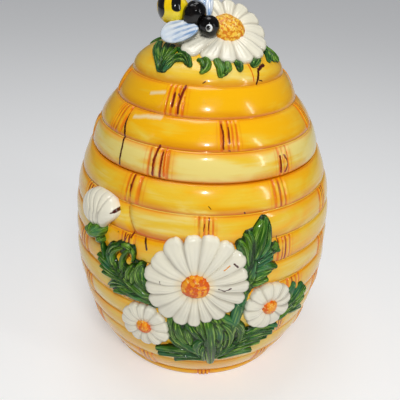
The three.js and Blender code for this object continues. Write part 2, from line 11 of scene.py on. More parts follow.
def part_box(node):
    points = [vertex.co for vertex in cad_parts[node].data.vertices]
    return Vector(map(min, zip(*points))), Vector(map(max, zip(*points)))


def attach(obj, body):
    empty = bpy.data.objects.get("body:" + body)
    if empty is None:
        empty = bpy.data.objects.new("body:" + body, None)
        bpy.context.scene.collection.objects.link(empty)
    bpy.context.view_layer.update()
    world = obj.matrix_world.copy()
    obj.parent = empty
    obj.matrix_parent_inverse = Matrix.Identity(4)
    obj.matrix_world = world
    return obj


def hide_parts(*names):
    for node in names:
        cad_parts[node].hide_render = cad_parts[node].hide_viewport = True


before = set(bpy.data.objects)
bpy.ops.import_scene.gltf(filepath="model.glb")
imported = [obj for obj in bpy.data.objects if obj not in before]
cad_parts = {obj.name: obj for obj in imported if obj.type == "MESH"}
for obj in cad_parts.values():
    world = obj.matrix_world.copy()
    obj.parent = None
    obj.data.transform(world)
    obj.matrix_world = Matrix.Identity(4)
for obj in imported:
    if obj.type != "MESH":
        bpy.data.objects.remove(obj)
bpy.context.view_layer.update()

# The jar is one thin shell of slip-cast earthenware that shows ten coils of straw, each bound with
# split cane. It is glazed yellow outside and cream inside, with orange pooled in the grooves, and its
# foot and rim are wiped bare before the firing.
MM = 0.001
BELLY_RADIUS = 94.7
JAR_DEGREE = np.radians(1) * BELLY_RADIUS
JAR_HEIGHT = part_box("jar_body")[1].z / MM
GROOVE_RADII = np.array([69, 71.4, 82.9, 89.1, 91.8, 94.7, 93.9, 93.5, 91.9, 87.6, 79.6])
GROOVE_HEIGHTS = np.array([0, 6, 25.8, 45.5, 61.5, 78.8, 95, 111.7, 129.6, 147.8, JAR_HEIGHT])
WALL = 5.5
MOUTH_RADIUS = 74.2
FLOOR_TOP = 7
FOOT_BARE_RADIUS = 66
RIM_GLAZED = 2.2
RIM_BARE_FROM = 2.6
JAR_SEED = 11
TURN = np.linspace(-180, 180, 720, endpoint=False)

# How a coil bulges between its grooves, and how much that and its colour change round the turn
COIL_BULGE = 2.2
COIL_ROUND = (2.4, 0.55)
COIL_ROWS = 10
WANDER = 0.3
GOLDEN_WANDER = 0.15

# How far the strands of a binding stand out, the dip along each side of it, in millimetres and
# degrees, and how many strands past it the straw is still coloured
STRAND_RISE = 0.7
STRAND_ROUND = 0.7
BINDING_DIP = 0.6
BINDING_DIP_WIDTH = 0.55
BINDING_REACH = 2.2
BINDING_FADE = (0.25, 2)

# The coil that ends beside the bud: which it is, where it ends and how far that slants, in degrees,
# and how deep and wide the gap at its end and the tuck before it are
COIL_END = 8
COIL_END_AT = -30.9
COIL_END_SLANT = 4.2
COIL_END_DIP = 2.0
COIL_END_WIDTH = 1.5
COIL_TUCK = 0.9
COIL_TUCK_REACH = 9

# Each coil from the foot up: how golden it is, where its bindings in view are, as the angles of the
# lines between the strands of cane with an ink from 0, orange, to 1, brown, and where those at the
# back are
EVEN_BACK = (122, 172, -117)
ODD_BACK = (97, 152, -148, -96)
JAR_COILS = [
    (0.85, [[(2, .1), (4.2, .5), (6.5, .5), (8.7, .1)]], (63, *EVEN_BACK, -57)),
    (0.75, [
        [(-30, .1), (-27, .4), (-25, .4), (-22.5, .1)],
        [(33.5, .1), (36, .4), (38, .4), (40.5, .1)],
    ], ODD_BACK),
    (0.6, [
        [(-61, .1), (-58.5, .5), (-57, .3), (-54, .1)],
        [(60, .1), (62.5, .3), (65, .6), (67, .1)],
    ], EVEN_BACK),
    (0.55, [
        [(-31, .1), (-28, .4), (-26, .4), (-23, .1)],
        [(36, .1), (38.3, .5), (39.6, .5), (41, .1)],
    ], ODD_BACK),
    (0.6, [
        [(-59.5, .1), (-57, .4), (-55, .5), (-53.5, .1)],
        [(61, .1), (63, .4), (65.5, .4), (68, .1)],
    ], EVEN_BACK),
    (0.5, [
        [(-31, .1), (-28, .4), (-26, .4), (-23, .1)],
        [(38.5, .1), (41, .4), (43, .4), (45.5, .1)],
    ], ODD_BACK),
    (0.6, [
        [(-62.5, .1), (-60, .4), (-57.5, .4), (-55, .1)],
        [(61, .1), (63.5, .5), (65, .3), (68, .1)],
    ], EVEN_BACK),
    (0.62, [
        [(-32, .1), (-30.4, .9), (-28.4, .9), (-26, .1)],
        [(31.7, .1), (33.6, .3), (35, .8), (37.6, .1)],
    ], ODD_BACK),
    (0.5, [
        [(-59, .1), (-56.5, .6), (-54.5, .6), (-52.5, .1)],
        [(-0.9, .15), (1.4, .5), (2.9, .5), (4.6, .1)],
        [(61, .1), (63, .7), (65, .7), (67, .1)],
    ], EVEN_BACK),
    (0.5, [[(-33, .1), (-31, .5), (-27, .1)], [(31.5, .1), (34, .35), (36.8, .1)]], ODD_BACK),
]
BACK_LINES = [(-3.6, .1), (-1.4, .5), (0.8, .6), (3.5, .1)]

# Painted strokes and firing marks: an ink, half a width, and points as an angle and a height
JAR_MARKS = [
    ("umber", 0.8, [(-21.6, 131.5), (-21.2, 127), (-20.6, 122.4)]),
    ("umber", 0.5, [(17, 149.3), (17.4, 148.6)]),
    ("umber", 0.25, [(2.6, 153.8), (3.6, 152.1)]),
    ("umber", 0.3, [(-34.2, 127.9), (-34.1, 127.5)]),
    ("russet", 0.45, [(-30, 124.5), (-29.2, 128.5)]),
    ("russet", 0.8, [(-27.5, 127.5), (-27.1, 130)]),
    ("umber", 0.4, [(31, 131), (31.5, 127.6), (32.1, 120.9)]),
    ("umber", 0.3, [(3.1, 147), (2.8, 140.1)]),
    ("umber", 0.3, [(1.3, 143.7), (1, 139.7)]),
    ("umber", 0.3, [(-31.5, 159.5), (-30.4, 152.4)]),
    ("amber", 0.7, [(-31, 145), (-30.5, 141.5), (-29.9, 139), (-28.3, 136), (-26.3, 133)]),
    ("amber", 3.6, [(-23.5, 133), (-18, 132), (-11, 132), (-6, 132.5)]),
    ("orange", 1.5, [(-26.5, 132), (-20, 130.5), (-13, 130.2)]),
]

COLOURS = {
    "butter": (246, 224, 130),
    "straw": (246, 202, 54),
    "gold": (252, 186, 2),
    "apricot": (250, 168, 2),
    "marigold": (250, 164, 0),
    "amber": (228, 142, 2),
    "toffee": (224, 122, 2),
    "orange": (228, 104, 2),
    "chestnut": (140, 72, 2),
    "russet": (130, 34, 2),
    "umber": (72, 12, 2),
    # a pale cream for highlights painted on the lid's coils
    "painted_highlight": (245, 217, 160),
    "cream": (238, 230, 208),
    "bisque": (214, 196, 164),
}
FACTS = ("level", "golden", "line", "near", "ink", "bare", "lining")


def glaze_rgb(red, green, blue):
    """A glaze's colour as it looks, made into the shader's linear numbers."""
    shares = np.array([red, green, blue]) / 255
    linear = np.where(shares <= 0.04045, shares / 12.92, ((shares + 0.055) / 1.055) ** 2.4)
    return (*(float(share) for share in linear), 1.0)


def ease(value, low, high):
    """0 at low, 1 at high, and smooth between them."""
    share = np.clip((value - low) / (high - low), 0, 1)
    return share * share * (3 - 2 * share)


def ripple(seed, waves=(2, 3, 5, 8)):
    """A gentle unevenness round the turn, from -1 to 1, that closes on itself."""
    phases = np.random.default_rng(seed).uniform(0, 2 * np.pi, len(waves))
    return sum(np.sin(np.radians(TURN) * wave + phase) for wave, phase in zip(waves, phases)) / len(waves)


def cane(bindings, back):
    """What a coil's bindings do round the turn: line coordinate, closeness, ink and rise."""
    turns = list(bindings)
    turns += [[(middle + offset, ink) for offset, ink in BACK_LINES] for middle in back]
    line = np.full(TURN.shape, -1.0)
    near, ink, rise = np.zeros((3, TURN.size))
    for lines in turns:
        at, inks = np.array(lines).T
        middle = at.mean()
        offset = (TURN - middle + 180) % 360 - 180 + middle
        step = (at[-1] - at[0]) / (len(at) - 1)
        beyond = np.minimum(offset - at[0], 0) / step + np.maximum(offset - at[-1], 0) / step
        along = np.interp(offset, at, np.arange(len(at))) + beyond
        close = (offset > at[0] - BINDING_REACH * step) & (offset < at[-1] + BINDING_REACH * step)
        inside = (offset > at[0]) & (offset < at[-1])
        line = np.where(close, along, line)
        near = np.where(close, 1 - ease(np.abs(beyond), *BINDING_FADE), near)
        ink = np.where(close, np.interp(offset, at, inks), ink)
        rise = np.where(inside, STRAND_RISE * np.abs(np.sin(np.pi * along)) ** STRAND_ROUND, rise)
        for edge in (at[0], at[-1]):
            rise = rise - BINDING_DIP * np.exp(-(((offset - edge) / BINDING_DIP_WIDTH) ** 2))
    return line, near, ink, rise


def plain_row(radius, height, bare=0.0, lining=0.0):
    """A row of the turned shell that isn't straw: a bare rim or foot, or the lining."""
    row = dict.fromkeys(FACTS, 0.0) | {"radius": radius, "height": height, "golden": 0.5}
    row |= {"bare": bare, "lining": lining}
    return {name: np.ones(TURN.size) * value for name, value in row.items()}


def straw_coils(radii, heights, coils, seed, end=None):
    """Rows of points and of what the glaze needs to know, up a stack of coils."""
    rows = []
    for number, (golden, bindings, back) in enumerate(coils):
        line, near, ink, rise = cane(bindings, back)
        run = np.array([radii[number + 1] - radii[number], heights[number + 1] - heights[number]])
        normal = np.array([run[1], -run[0]]) / np.hypot(*run)
        for level in (1 - np.cos(np.pi * np.arange(COIL_ROWS) / COIL_ROWS)) / 2:
            bulge = (1 - abs(2 * level - 1) ** COIL_ROUND[0]) ** COIL_ROUND[1]
            out = bulge * (COIL_BULGE - WANDER * (1 + ripple(seed + number)) / 2)
            out = out + rise * bulge ** 0.5
            if number == end:
                gap = (TURN - (COIL_END_AT + COIL_END_SLANT * (1 - level) ** 2)) % 360
                gap = np.where(gap > 180, gap - 360, gap)
                tuck = np.where(gap < 0, np.exp(gap / COIL_TUCK_REACH), 0) * COIL_TUCK
                dip = COIL_END_DIP * np.exp(-((gap / COIL_END_WIDTH) ** 2))
                out = out - bulge ** 0.5 * (dip + tuck)
            height = np.maximum(heights[number] + run[1] * level + out * normal[1], heights[0])
            rows.append(plain_row(radii[number] + run[0] * level + out * normal[0], height) | {
                "level": np.full(TURN.shape, level),
                "golden": golden + GOLDEN_WANDER * ripple(seed + 40 + number, (1, 2, 4)),
                "line": line,
                "near": near * (level > 0),
                "ink": ink,
            })
    return rows


def fired_piece(name, node, points, faces, facts, material, body):
    """A finished piece from points in millimetres: shaded smooth, glazed, and riding on its body."""
    a, b, c, d = (points[faces[0][:, corner]] for corner in range(4))
    volume = np.einsum("ij,ij->", np.cross(a, b), c) + np.einsum("ij,ij->", np.cross(a, c), d)
    if volume < 0:
        faces = [corners[:, ::-1] for corners in faces]
    mesh = bpy.data.meshes.new(name)
    mesh.from_pydata((points * MM).tolist(), [], sum((corners.tolist() for corners in faces), []))
    mesh.shade_smooth()
    for fact, values in facts.items():
        layer = mesh.attributes.new(fact, "FLOAT", "POINT")
        layer.data.foreach_set("value", np.asarray(values, np.float32).ravel())
    mesh.materials.append(material)
    mesh.update()
    piece = bpy.data.objects.new(name, mesh)
    bpy.context.scene.collection.objects.link(piece)
    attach(piece, body)
    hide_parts(node)


def ringed_piece(name, node, rings, facts, ends, material, body, lay=None):
    """A piece from rings of points, closed by a point at each end and laid on what carries it."""
    count, columns = rings.shape[:2]
    at = 1 + np.arange(count * columns).reshape(count, columns)
    after = np.roll(at, -1, axis=1)
    quads = np.stack([at[:-1], at[1:], after[1:], after[:-1]], axis=-1).reshape(-1, 4)
    first = np.stack([np.zeros(columns, int), at[0], after[0]], axis=-1)
    last = np.stack([np.full(columns, 1 + count * columns), after[-1], at[-1]], axis=-1)
    points = np.concatenate([[ends[0]], rings.reshape(-1, 3), [ends[1]]])
    facts = {fact: np.ravel(values) for fact, values in facts.items()}
    facts = {fact: np.concatenate([values[:1], values, values[-1:]]) for fact, values in facts.items()}
    faces = [quads, np.concatenate([first, last])]
    fired_piece(name, node, lay(points) if lay else points, faces, facts, material, body)


def turned_shell(name, node, rows, ends, material, body):
    """The jar or the lid, turned from its rows."""
    turn = np.radians(TURN)
    radius, height = (np.array([row[part] for row in rows]) for part in ("radius", "height"))
    rings = np.stack([radius * np.sin(turn), -radius * np.cos(turn), height], axis=-1)
    facts = {fact: [row[fact] for row in rows] for fact in FACTS}
    ringed_piece(name, node, rings, facts, ends, material, body)


# A stroke is crisp up to a share of its half width and fades out a little past it, but a broad one
# fades from its middle
STROKE_CRISP = 0.55
STROKE_END = 1.15
BROAD_STROKE = 1.4
UNSTEADY = 0.9


class Glaze:
    """A glaze's nodes, laid on in the order that a painter works."""

    def __init__(self, name, roughness, coat, shine=0.5):
        self.material = bpy.data.materials.new(name)
        self.material.use_nodes = True
        self.tree = self.material.node_tree
        self.shader = self.tree.nodes["Principled BSDF"]
        for socket, value in (
            ("Roughness", roughness), ("Specular IOR Level", shine),
            ("Coat Weight", coat), ("Coat Roughness", 0.035), ("Coat IOR", 1.5),
        ):
            self.shader.inputs[socket].default_value = value
        self.spot = self.node("TexCoord").outputs["Object"]

    def node(self, kind, *values, **settings):
        """A shader node, with its settings and what its sockets hold or are fed by."""
        made = self.tree.nodes.new("ShaderNode" + kind)
        for name, value in settings.items():
            setattr(made, name, value)
        for socket, value in zip(made.inputs, values):
            self.feed(socket, value)
        return made

    def feed(self, socket, value):
        if isinstance(value, bpy.types.NodeSocket):
            self.tree.links.new(value, socket)
        else:
            socket.default_value = value

    def fact(self, name):
        """What the mesh says of its points under this name."""
        return self.node("Attribute", attribute_name=name).outputs["Fac"]

    def maths(self, kind, *values):
        return self.node("Math", *values, operation=kind).outputs[0]

    def times(self, share, *others):
        """The product of some shares."""
        for other in others:
            share = self.maths("MULTIPLY", share, other)
        return share

    def vector(self, kind, *values, out="Vector"):
        return self.node("VectorMath", *values, operation=kind).outputs[out]

    def step(self, value, low, high):
        """0 at low, 1 at high, and smooth between them."""
        made = self.node("MapRange", value, low, high, 0.0, 1.0, interpolation_type="SMOOTHSTEP")
        return made.outputs["Result"]

    def noise(self, scale, detail=3.0, stretch=(1, 1, 1), wobble=0.0):
        made = self.node("TexNoise", self.vector("MULTIPLY", self.spot, stretch))
        made.inputs["Scale"].default_value = scale
        made.inputs["Detail"].default_value = detail
        made.inputs["Distortion"].default_value = wobble
        return made.outputs[0]

    def painted(self, colour, *coats):
        """A colour with coats over it in turn: pairs of a colour and of where it goes."""
        for over, share in coats:
            made = self.node("Mix", data_type="RGBA")
            for socket, value in zip((0, 6, 7), (share, colour, over)):
                if isinstance(value, str):
                    value = glaze_rgb(*COLOURS[value])
                self.feed(made.inputs[socket], value)
            colour = made.outputs[2]
        return colour

    def mark(self, unrolled, width, points):
        """1 along a stroke through the points of an unrolled surface, 0 away from it."""
        nearest = None
        for start, end in zip(points[:-1], points[1:]):
            run = np.array(end) - np.array(start)
            reach = tuple(float(part) for part in run / (run @ run)) + (0.0,)
            away = self.vector("SUBTRACT", unrolled, (*start, 0.0))
            along = self.vector("DOT_PRODUCT", away, reach, out="Value")
            along = self.node("Clamp", along).outputs[0]
            step = self.node("VectorMath", (*run, 0.0), operation="SCALE")
            self.feed(step.inputs["Scale"], along)
            gap = self.vector("LENGTH", self.vector("SUBTRACT", away, step.outputs[0]), out="Value")
            nearest = gap if nearest is None else self.maths("MINIMUM", nearest, gap)
        crisp = width * STROKE_CRISP if width < BROAD_STROKE else 0.0
        return self.maths("SUBTRACT", 1.0, self.step(nearest, crisp, width * STROKE_END))

    def unrolled(self, degree):
        """The surface unrolled: millimetres round from the front, and height, a little unsteady."""
        x, y, z = self.node("SeparateXYZ", self.spot).outputs
        angle = self.maths("ARCTAN2", x, self.maths("MULTIPLY", y, -1.0))
        across = self.maths("MULTIPLY", angle, float(np.degrees(1) * degree))
        height = self.maths("MULTIPLY", z, 1 / MM)
        flat = self.node("CombineXYZ", across, height).outputs[0]
        shake = self.node("TexNoise", flat)
        shake.inputs["Scale"].default_value = 0.5
        shake = self.vector("SUBTRACT", shake.outputs["Color"], (0.5, 0.5, 0.5))
        return self.vector("ADD", flat, self.vector("MULTIPLY", shake, (UNSTEADY, UNSTEADY, 0)))

    def marked(self, colour, degree, marks):
        """A colour with strokes over it, where a degree round is this many millimetres."""
        unrolled = self.unrolled(degree)
        for ink, width, points in marks:
            flat = [(angle * degree, height) for angle, height in points]
            colour = self.painted(colour, (ink, self.mark(unrolled, width, flat)))
        return colour

    def relief(self, *layers):
        """Bumps under the glaze: pairs of a height and its depth in millimetres."""
        normal = None
        for height, depth in layers:
            made = self.node("Bump")
            made.inputs["Distance"].default_value = depth * MM
            self.feed(made.inputs["Height"], height)
            if normal is not None:
                self.feed(made.inputs["Normal"], normal)
            normal = made.outputs[0]
        self.feed(self.shader.inputs["Normal"], normal)

    def done(self, colour, roughness=None):
        self.feed(self.shader.inputs["Base Color"], colour)
        if roughness is not None:
            self.feed(self.shader.inputs["Roughness"], roughness)
        return self.material


def straw_glaze(name, degree, marks):
    """Yellow glaze brushed along the coils, pooled orange in the grooves and beside the cane."""
    glaze = Glaze(name, 0.2, 0.4, 0.35)
    level, near, line = glaze.fact("level"), glaze.fact("near"), glaze.fact("line")
    streaks = glaze.noise(1.0, 4.0, (16, 16, 520), 0.6)
    broad = glaze.noise(1.0, 3.0, (22, 22, 70), 0.8)
    patches = glaze.noise(1.0, 2.0, (9, 9, 34), 0.4)
    golden = glaze.maths("ADD", glaze.fact("golden"), glaze.maths("MULTIPLY_ADD", streaks, 0.55, -0.27))
    golden = glaze.maths("ADD", golden, glaze.maths("MULTIPLY_ADD", broad, 1.5, -0.75))
    edge = glaze.maths("ABSOLUTE", glaze.maths("MULTIPLY_ADD", level, 2.0, -1.0))
    gap = glaze.maths("ABSOLUTE", glaze.maths("SUBTRACT", line, glaze.maths("ROUND", line)))
    glow = glaze.step(glaze.noise(1.0, 2.0, (60, 60, 160)), 0.3, 0.6)
    smear = glaze.step(glaze.noise(1.0, 3.0, (110, 110, 90)), 0.3, 0.5)
    faded = glaze.step(glaze.noise(1.0, 3.0, (150, 150, 50)), 0.34, 0.52)
    ends = glaze.times(glaze.step(level, 0.0, 0.08), glaze.step(level, 1.0, 0.92))
    ink = glaze.times(glaze.step(glaze.fact("ink"), 0.12, 0.5), faded)
    drawn = glaze.times(glaze.step(gap, 0.22, 0.09), glaze.step(near, 0.88, 0.97), ends, ink)
    colour = glaze.painted(
        "butter",
        ("straw", glaze.step(golden, 0.05, 0.5)),
        ("gold", glaze.step(golden, 0.42, 0.85)),
        ("marigold", glaze.times(glaze.step(level, 0.72, 0.97), glaze.step(patches, 0.38, 0.62), 0.8)),
        ("amber", glaze.times(glaze.step(level, 0.36, 0.03), glaze.step(broad, 0.3, 0.6), 0.8)),
        ("toffee", glaze.times(glaze.step(edge, 0.8, 0.97), glaze.step(patches, 0.15, 0.6), 0.9)),
        ("chestnut", glaze.times(glaze.step(edge, 0.955, 1.0), 0.3)),
        ("apricot", glaze.times(near, glow, 0.7)),
        ("orange", glaze.times(glaze.step(near, 0.6, 0.95), glaze.step(gap, 0.38, 0.1), smear, 0.8)),
        ("russet", glaze.times(drawn, 0.95)),
    )
    colour = glaze.marked(colour, degree, marks)
    bare = glaze.fact("bare")
    colour = glaze.painted(colour, ("cream", glaze.fact("lining")), ("bisque", bare))
    glaze.relief((streaks, 0.05), (glaze.noise(60.0, 2.0), 0.25))
    return glaze.done(colour, glaze.maths("MULTIPLY_ADD", bare, 0.5, 0.2))


belly_curve = np.polyfit(GROOVE_HEIGHTS, GROOVE_RADII, 6)


def belly(height):
    """The radius of the wall through its grooves at a height."""
    return np.polyval(belly_curve, height)


jar_rows = [plain_row(FOOT_BARE_RADIUS, 0, bare=1.0)]
jar_rows += straw_coils(GROOVE_RADII, GROOVE_HEIGHTS, JAR_COILS, JAR_SEED, COIL_END)
jar_rows[1]["bare"] = np.ones(TURN.size)
rim_radius = GROOVE_RADII[-1]
jar_rows += [
    plain_row(rim_radius, JAR_HEIGHT - 0.5),
    plain_row(rim_radius - 0.5, JAR_HEIGHT),
    plain_row(rim_radius - RIM_GLAZED, JAR_HEIGHT),
    plain_row(rim_radius - RIM_BARE_FROM, JAR_HEIGHT, bare=1.0),
    plain_row(MOUTH_RADIUS + 0.6, JAR_HEIGHT, bare=1.0),
    plain_row(MOUTH_RADIUS, JAR_HEIGHT - 0.6, lining=1.0),
]
for depth in np.linspace(JAR_HEIGHT - 12, FLOOR_TOP + 9, 11):
    jar_rows.append(plain_row(belly(depth) - WALL, depth, lining=1.0))
for inset, rise in ((1.5, 4), (5, 1), (10, 0)):
    jar_rows.append(plain_row(belly(FLOOR_TOP) - WALL - inset, FLOOR_TOP + rise, lining=1.0))
jar_glaze = straw_glaze("jar_straw_glaze", JAR_DEGREE, JAR_MARKS)
turned_shell("cast_jar", "jar_body", jar_rows, ((0, 0, 0), (0, 0, FLOOR_TOP)), jar_glaze, "jar")

# The lid is cast like the jar, as three more coils and a domed cap. A bare flange inside the seam
# keeps it centred in the mouth, and a thin gap is left so that it lifts off. Its lowest coil is the
# palest, and brown cracks run over its cap and down its left side.
SEAM = 165.3
LID_RADII = np.array([79.6, 73.4, 61.3, 51.1])
LID_HEIGHTS = SEAM + np.array([0, 17.6, 33.7, 50.6])
CAP_RISE = 21.1
CAP_ROWS = 26
CAP_GOLDEN = 0.4
LID_SEED = 31
CAP_SEED = 77
FLANGE_RADII = (73, 68.5)
FLANGE_DEPTH = 10
LID_COILS = [
    (0.16, [
        [(-25, .1), (-22.4, .2), (-19, .2), (-16, .1)],
        [(36.6, .1), (39, .2), (42, .1)],
    ], (99, 158, -142, -81)),
    (0.82, [
        [(-56, .1), (-53.5, .2), (-51, .2), (-47, .1)],
        [(8, .2), (11.6, .2), (13.6, .1), (16, .1)],
    ], (72, 132, -168, -110)),
    (1.0, [[(-24, .1), (-20.5, .1), (-17, .2), (-13.5, .1)]], (98, 156, -140, -78)),
]
LID_MARKS = [
    ("russet", 1.3, [(-19.8, 211.6), (-19.9, 205.4)]),
    ("russet", 1.3, [(-14.4, 215.3), (-15.4, 210.8)]),
    ("russet", 1.0, [(-15.4, 210.8), (-16.1, 205.5), (-15.9, 201.6)]),
    ("russet", 0.6, [(-17.4, 211.7), (-15.8, 209.7)]),
    ("russet", 0.95, [(-21.2, 184), (-21.9, 180.5), (-22.6, 176)]),
    ("russet", 0.7, [(-22.6, 176), (-22.6, 171), (-22.6, 167)]),
    ("russet", 0.6, [(-18.7, 181), (-19, 175), (-19.2, 166.5)]),
    ("orange", 0.7, [(-17.3, 183.5), (-17.5, 177), (-17.2, 168)]),
    ("russet", 0.6, [(8.2, 197), (9.1, 193.4), (8.8, 185.3)]),
    ("russet", 0.55, [(11.8, 195.8), (11.9, 188.1)]),
    ("russet", 0.55, [(37.2, 178), (37.1, 168)]),
    ("russet", 0.6, [(39.7, 178), (41.3, 172.8), (39.6, 168)]),
    ("orange", 0.9, [(-46.8, 198), (-46, 192)]),
    ("umber", 0.9, [(-46.5, 195), (-45.8, 191), (-43.2, 185)]),
    ("umber", 0.8, [(-43.2, 185), (-41.7, 178.5), (-41.5, 172.5), (-41.3, 167)]),
    ("umber", 0.9, [(51, 225.7), (45.6, 225), (41.2, 223.8)]),
    ("umber", 1.2, [(41.2, 223.8), (38.5, 220)]),
    ("umber", 1.1, [(38.5, 220), (36.5, 216.8)]),
    ("umber", 0.45, [(39, 218.6), (42, 217.6)]),
    ("orange", 0.9, [(34.6, 227.5), (34.5, 224)]),
    ("orange", 0.6, [(34.5, 224), (34.3, 218.5)]),
    ("umber", 0.45, [(-3, 218.1), (-1.2, 219.3)]),
    # The next two pale strokes are painted highlights on two of the lid's coils
    ("painted_highlight", 1.5, [(-42, 195), (-34, 197), (-25, 198)]),
    ("painted_highlight", 1.4, [(-37, 209.5), (-32, 210.5), (-27, 211.5)]),
    ("umber", 0.3, [(11.5, 184), (12.1, 184)]),
]
lid_rows = [
    plain_row(FLANGE_RADII[0] - 0.6, SEAM - FLANGE_DEPTH, bare=1.0),
    plain_row(FLANGE_RADII[0], SEAM - FLANGE_DEPTH + 0.8, bare=1.0),
    plain_row(FLANGE_RADII[0], SEAM, bare=1.0),
    plain_row(LID_RADII[0] - RIM_BARE_FROM, SEAM, bare=1.0),
    plain_row(LID_RADII[0] - RIM_GLAZED, SEAM),
    plain_row(LID_RADII[0] - 0.4, SEAM),
]
lid_rows += straw_coils(LID_RADII, LID_HEIGHTS, LID_COILS, LID_SEED)
for share in np.linspace(0, 1, CAP_ROWS + 1)[:-1]:
    lean = share * np.pi / 2
    lid_rows.append(plain_row(LID_RADII[-1] * np.cos(lean), LID_HEIGHTS[-1] + CAP_RISE * np.sin(lean)))
    lid_rows[-1]["level"] = np.full(TURN.size, min(0.03 + share * 1.6, 0.6))
    lid_rows[-1]["golden"] = CAP_GOLDEN + 0.2 * ripple(CAP_SEED)
lid_inside = [plain_row(FLANGE_RADII[1] + 0.5, SEAM - FLANGE_DEPTH, bare=1.0)]
lid_inside.append(plain_row(FLANGE_RADII[1], SEAM - FLANGE_DEPTH + 0.8, lining=1.0))
for height in (SEAM + 4, LID_HEIGHTS[1], LID_HEIGHTS[2], SEAM + 48):
    wall_radius = np.interp(height, LID_HEIGHTS, LID_RADII) - WALL - 0.7
    lid_inside.append(plain_row(min(wall_radius, FLANGE_RADII[1]), height, lining=1.0))
for share in (0.15, 0.35, 0.55, 0.75, 0.92):
    lean = share * np.pi / 2
    lid_inside.append(plain_row(
        (LID_RADII[-1] - WALL) * np.cos(lean),
        LID_HEIGHTS[-1] + (CAP_RISE - WALL) * np.sin(lean),
        lining=1.0,
    ))
lid_rows = lid_inside[::-1] + lid_rows
crown = LID_HEIGHTS[-1] + CAP_RISE
lid_glaze = straw_glaze("lid_straw_glaze", np.radians(1) * LID_RADII[1], LID_MARKS)
turned_shell("cast_lid", "lid_shell", lid_rows, ((0, 0, crown - WALL), (0, 0, crown)), lid_glaze, "lid")

# Daisies on the jar: each is pressed in a mould as one ring of overlapping petals, luted on over the
# coils and glazed white, with grey shade painted where the petals meet. The large one has eighteen
# petals, the small one at its lower left has twelve, and the one at its lower right has eleven.
BACK_DEPTH = 3.7
PETAL_COLUMNS = 26
PETAL_CREST = 4.2
PETAL_RIM = 0.855
PETAL_VALLEY = 1.2
PETAL_LAP = 0.35
PETAL_MIDDLE = 2.4
PETAL_DEEP = (0.35, 1.1)
PETAL_LIFT = 0.25
PETAL_TURN_DOWN = 0.9
FURROWS = (-0.36, 0.3)
FURROW_SWAY = 0.12
FURROW_DEPTH = 0.28
FURROW_WIDTH = 0.11
PETAL_START = 0.16
PETAL_RINGS = 30
DAISY_SEED = 50

# Where each daisy is, as an angle and a height, and its petals: the angle of each tip, its share of the
# radius, and how deep the notch after it is
DAISIES = {
    "large_daisy": {
        "at": (-1.1, 102.8),
        "radius": 36,
        "disc": 9,
        "tips": [
            (12, 0.92, 0.07), (37, 1, 0.07), (56, 1, 0.08), (73, 0.99, 0.06), (97, 0.95, 0.17),
            (116, 0.97, 0.11), (148, 0.89, 0.09), (172, 0.92, 0.08), (192, 0.9, 0.1), (211, 0.94, 0.08),
            (232, 0.94, 0.1), (253, 0.94, 0.09), (270, 0.92, 0.1), (286, 0.85, 0.09), (303, 0.87, 0.07),
            (322, 0.86, 0.08), (338, 0.93, 0.09), (357, 0.94, 0.07),
        ],
    },
    "left_daisy": {
        "at": (-21.4, 62.2),
        "radius": 18.6,
        "disc": 5.6,
        "tips": [
            (12, 0.92, 0.07), (43, 0.95, 0.08), (75, 1, 0.07), (94, 0.98, 0.06), (116, 1, 0.08),
            (148.5, 0.97, 0.07), (178, 0.96, 0.09), (212, 1, 0.07), (240, 0.98, 0.08), (268, 1, 0.07),
            (298, 1, 0.09), (330, 1, 0.08),
        ],
    },
    "right_daisy": {
        "at": (29, 79.8),
        "radius": 18.6,
        "disc": 5.6,
        "tips": [
            (5, 0.95, 0.06), (38, 0.97, 0.05), (70, 0.95, 0.06), (100, 0.98, 0.05), (130, 1, 0.06),
            (160, 0.97, 0.06), (192, 0.96, 0.06), (225, 0.98, 0.06), (260, 1, 0.05), (293, 1, 0.06),
            (328, 1, 0.05),
        ],
    },
}
PETAL_MARKS = [
    ("umber", 0.65, [(12.4, 120), (14, 117.2)]),
    ("umber", 0.55, [(7.4, 102), (9.6, 100.4), (11.7, 102.4)]),
    ("umber", 0.22, [(-14.1, 105), (-13.9, 101.8)]),
    ("amber", 0.4, [(8.8, 116), (10.8, 119)]),
]
COLOURS |= {
    "milk": (244, 238, 215),
    "chalk": (234, 229, 210),
    "petal_shade": (188, 180, 162),
    "honey": (240, 212, 150),
}


def on_jar(middle, skin):
    """Lays a skin of millimetres across, up and out onto the jar round a point of its side."""
    across = np.radians(middle[0]) * BELLY_RADIUS + skin[..., 0]
    height = middle[1] + skin[..., 1]
    radius = belly(height) + COIL_BULGE + skin[..., 2]
    turn = across / BELLY_RADIUS
    return np.stack([radius * np.sin(turn), -radius * np.cos(turn), height], axis=-1)


def petal_columns(tips):
    """For each column of a ring of petals: its angle, its reach, and its place across its petal."""
    angle, reach, across, petal = [], [], [], []
    for number, (tip, share, notch) in enumerate(tips):
        before, after = tips[number - 1], tips[(number + 1) % len(tips)]
        left = ((tip - before[0]) % 360) / 2
        right = ((after[0] - tip) % 360) / 2
        for place in -np.cos(np.pi * np.arange(PETAL_COLUMNS) / PETAL_COLUMNS):
            dip = before[2] if place < 0 else notch
            round_tip = 1 - dip * abs(place) ** 2.6 - 0.012 * np.exp(-((place / 0.16) ** 2))
            angle.append(tip + place * (left if place < 0 else right))
            reach.append(share * round_tip)
            across.append(place)
            petal.append(number)
    return np.radians(angle), np.array(reach), np.array(across), np.array(petal)


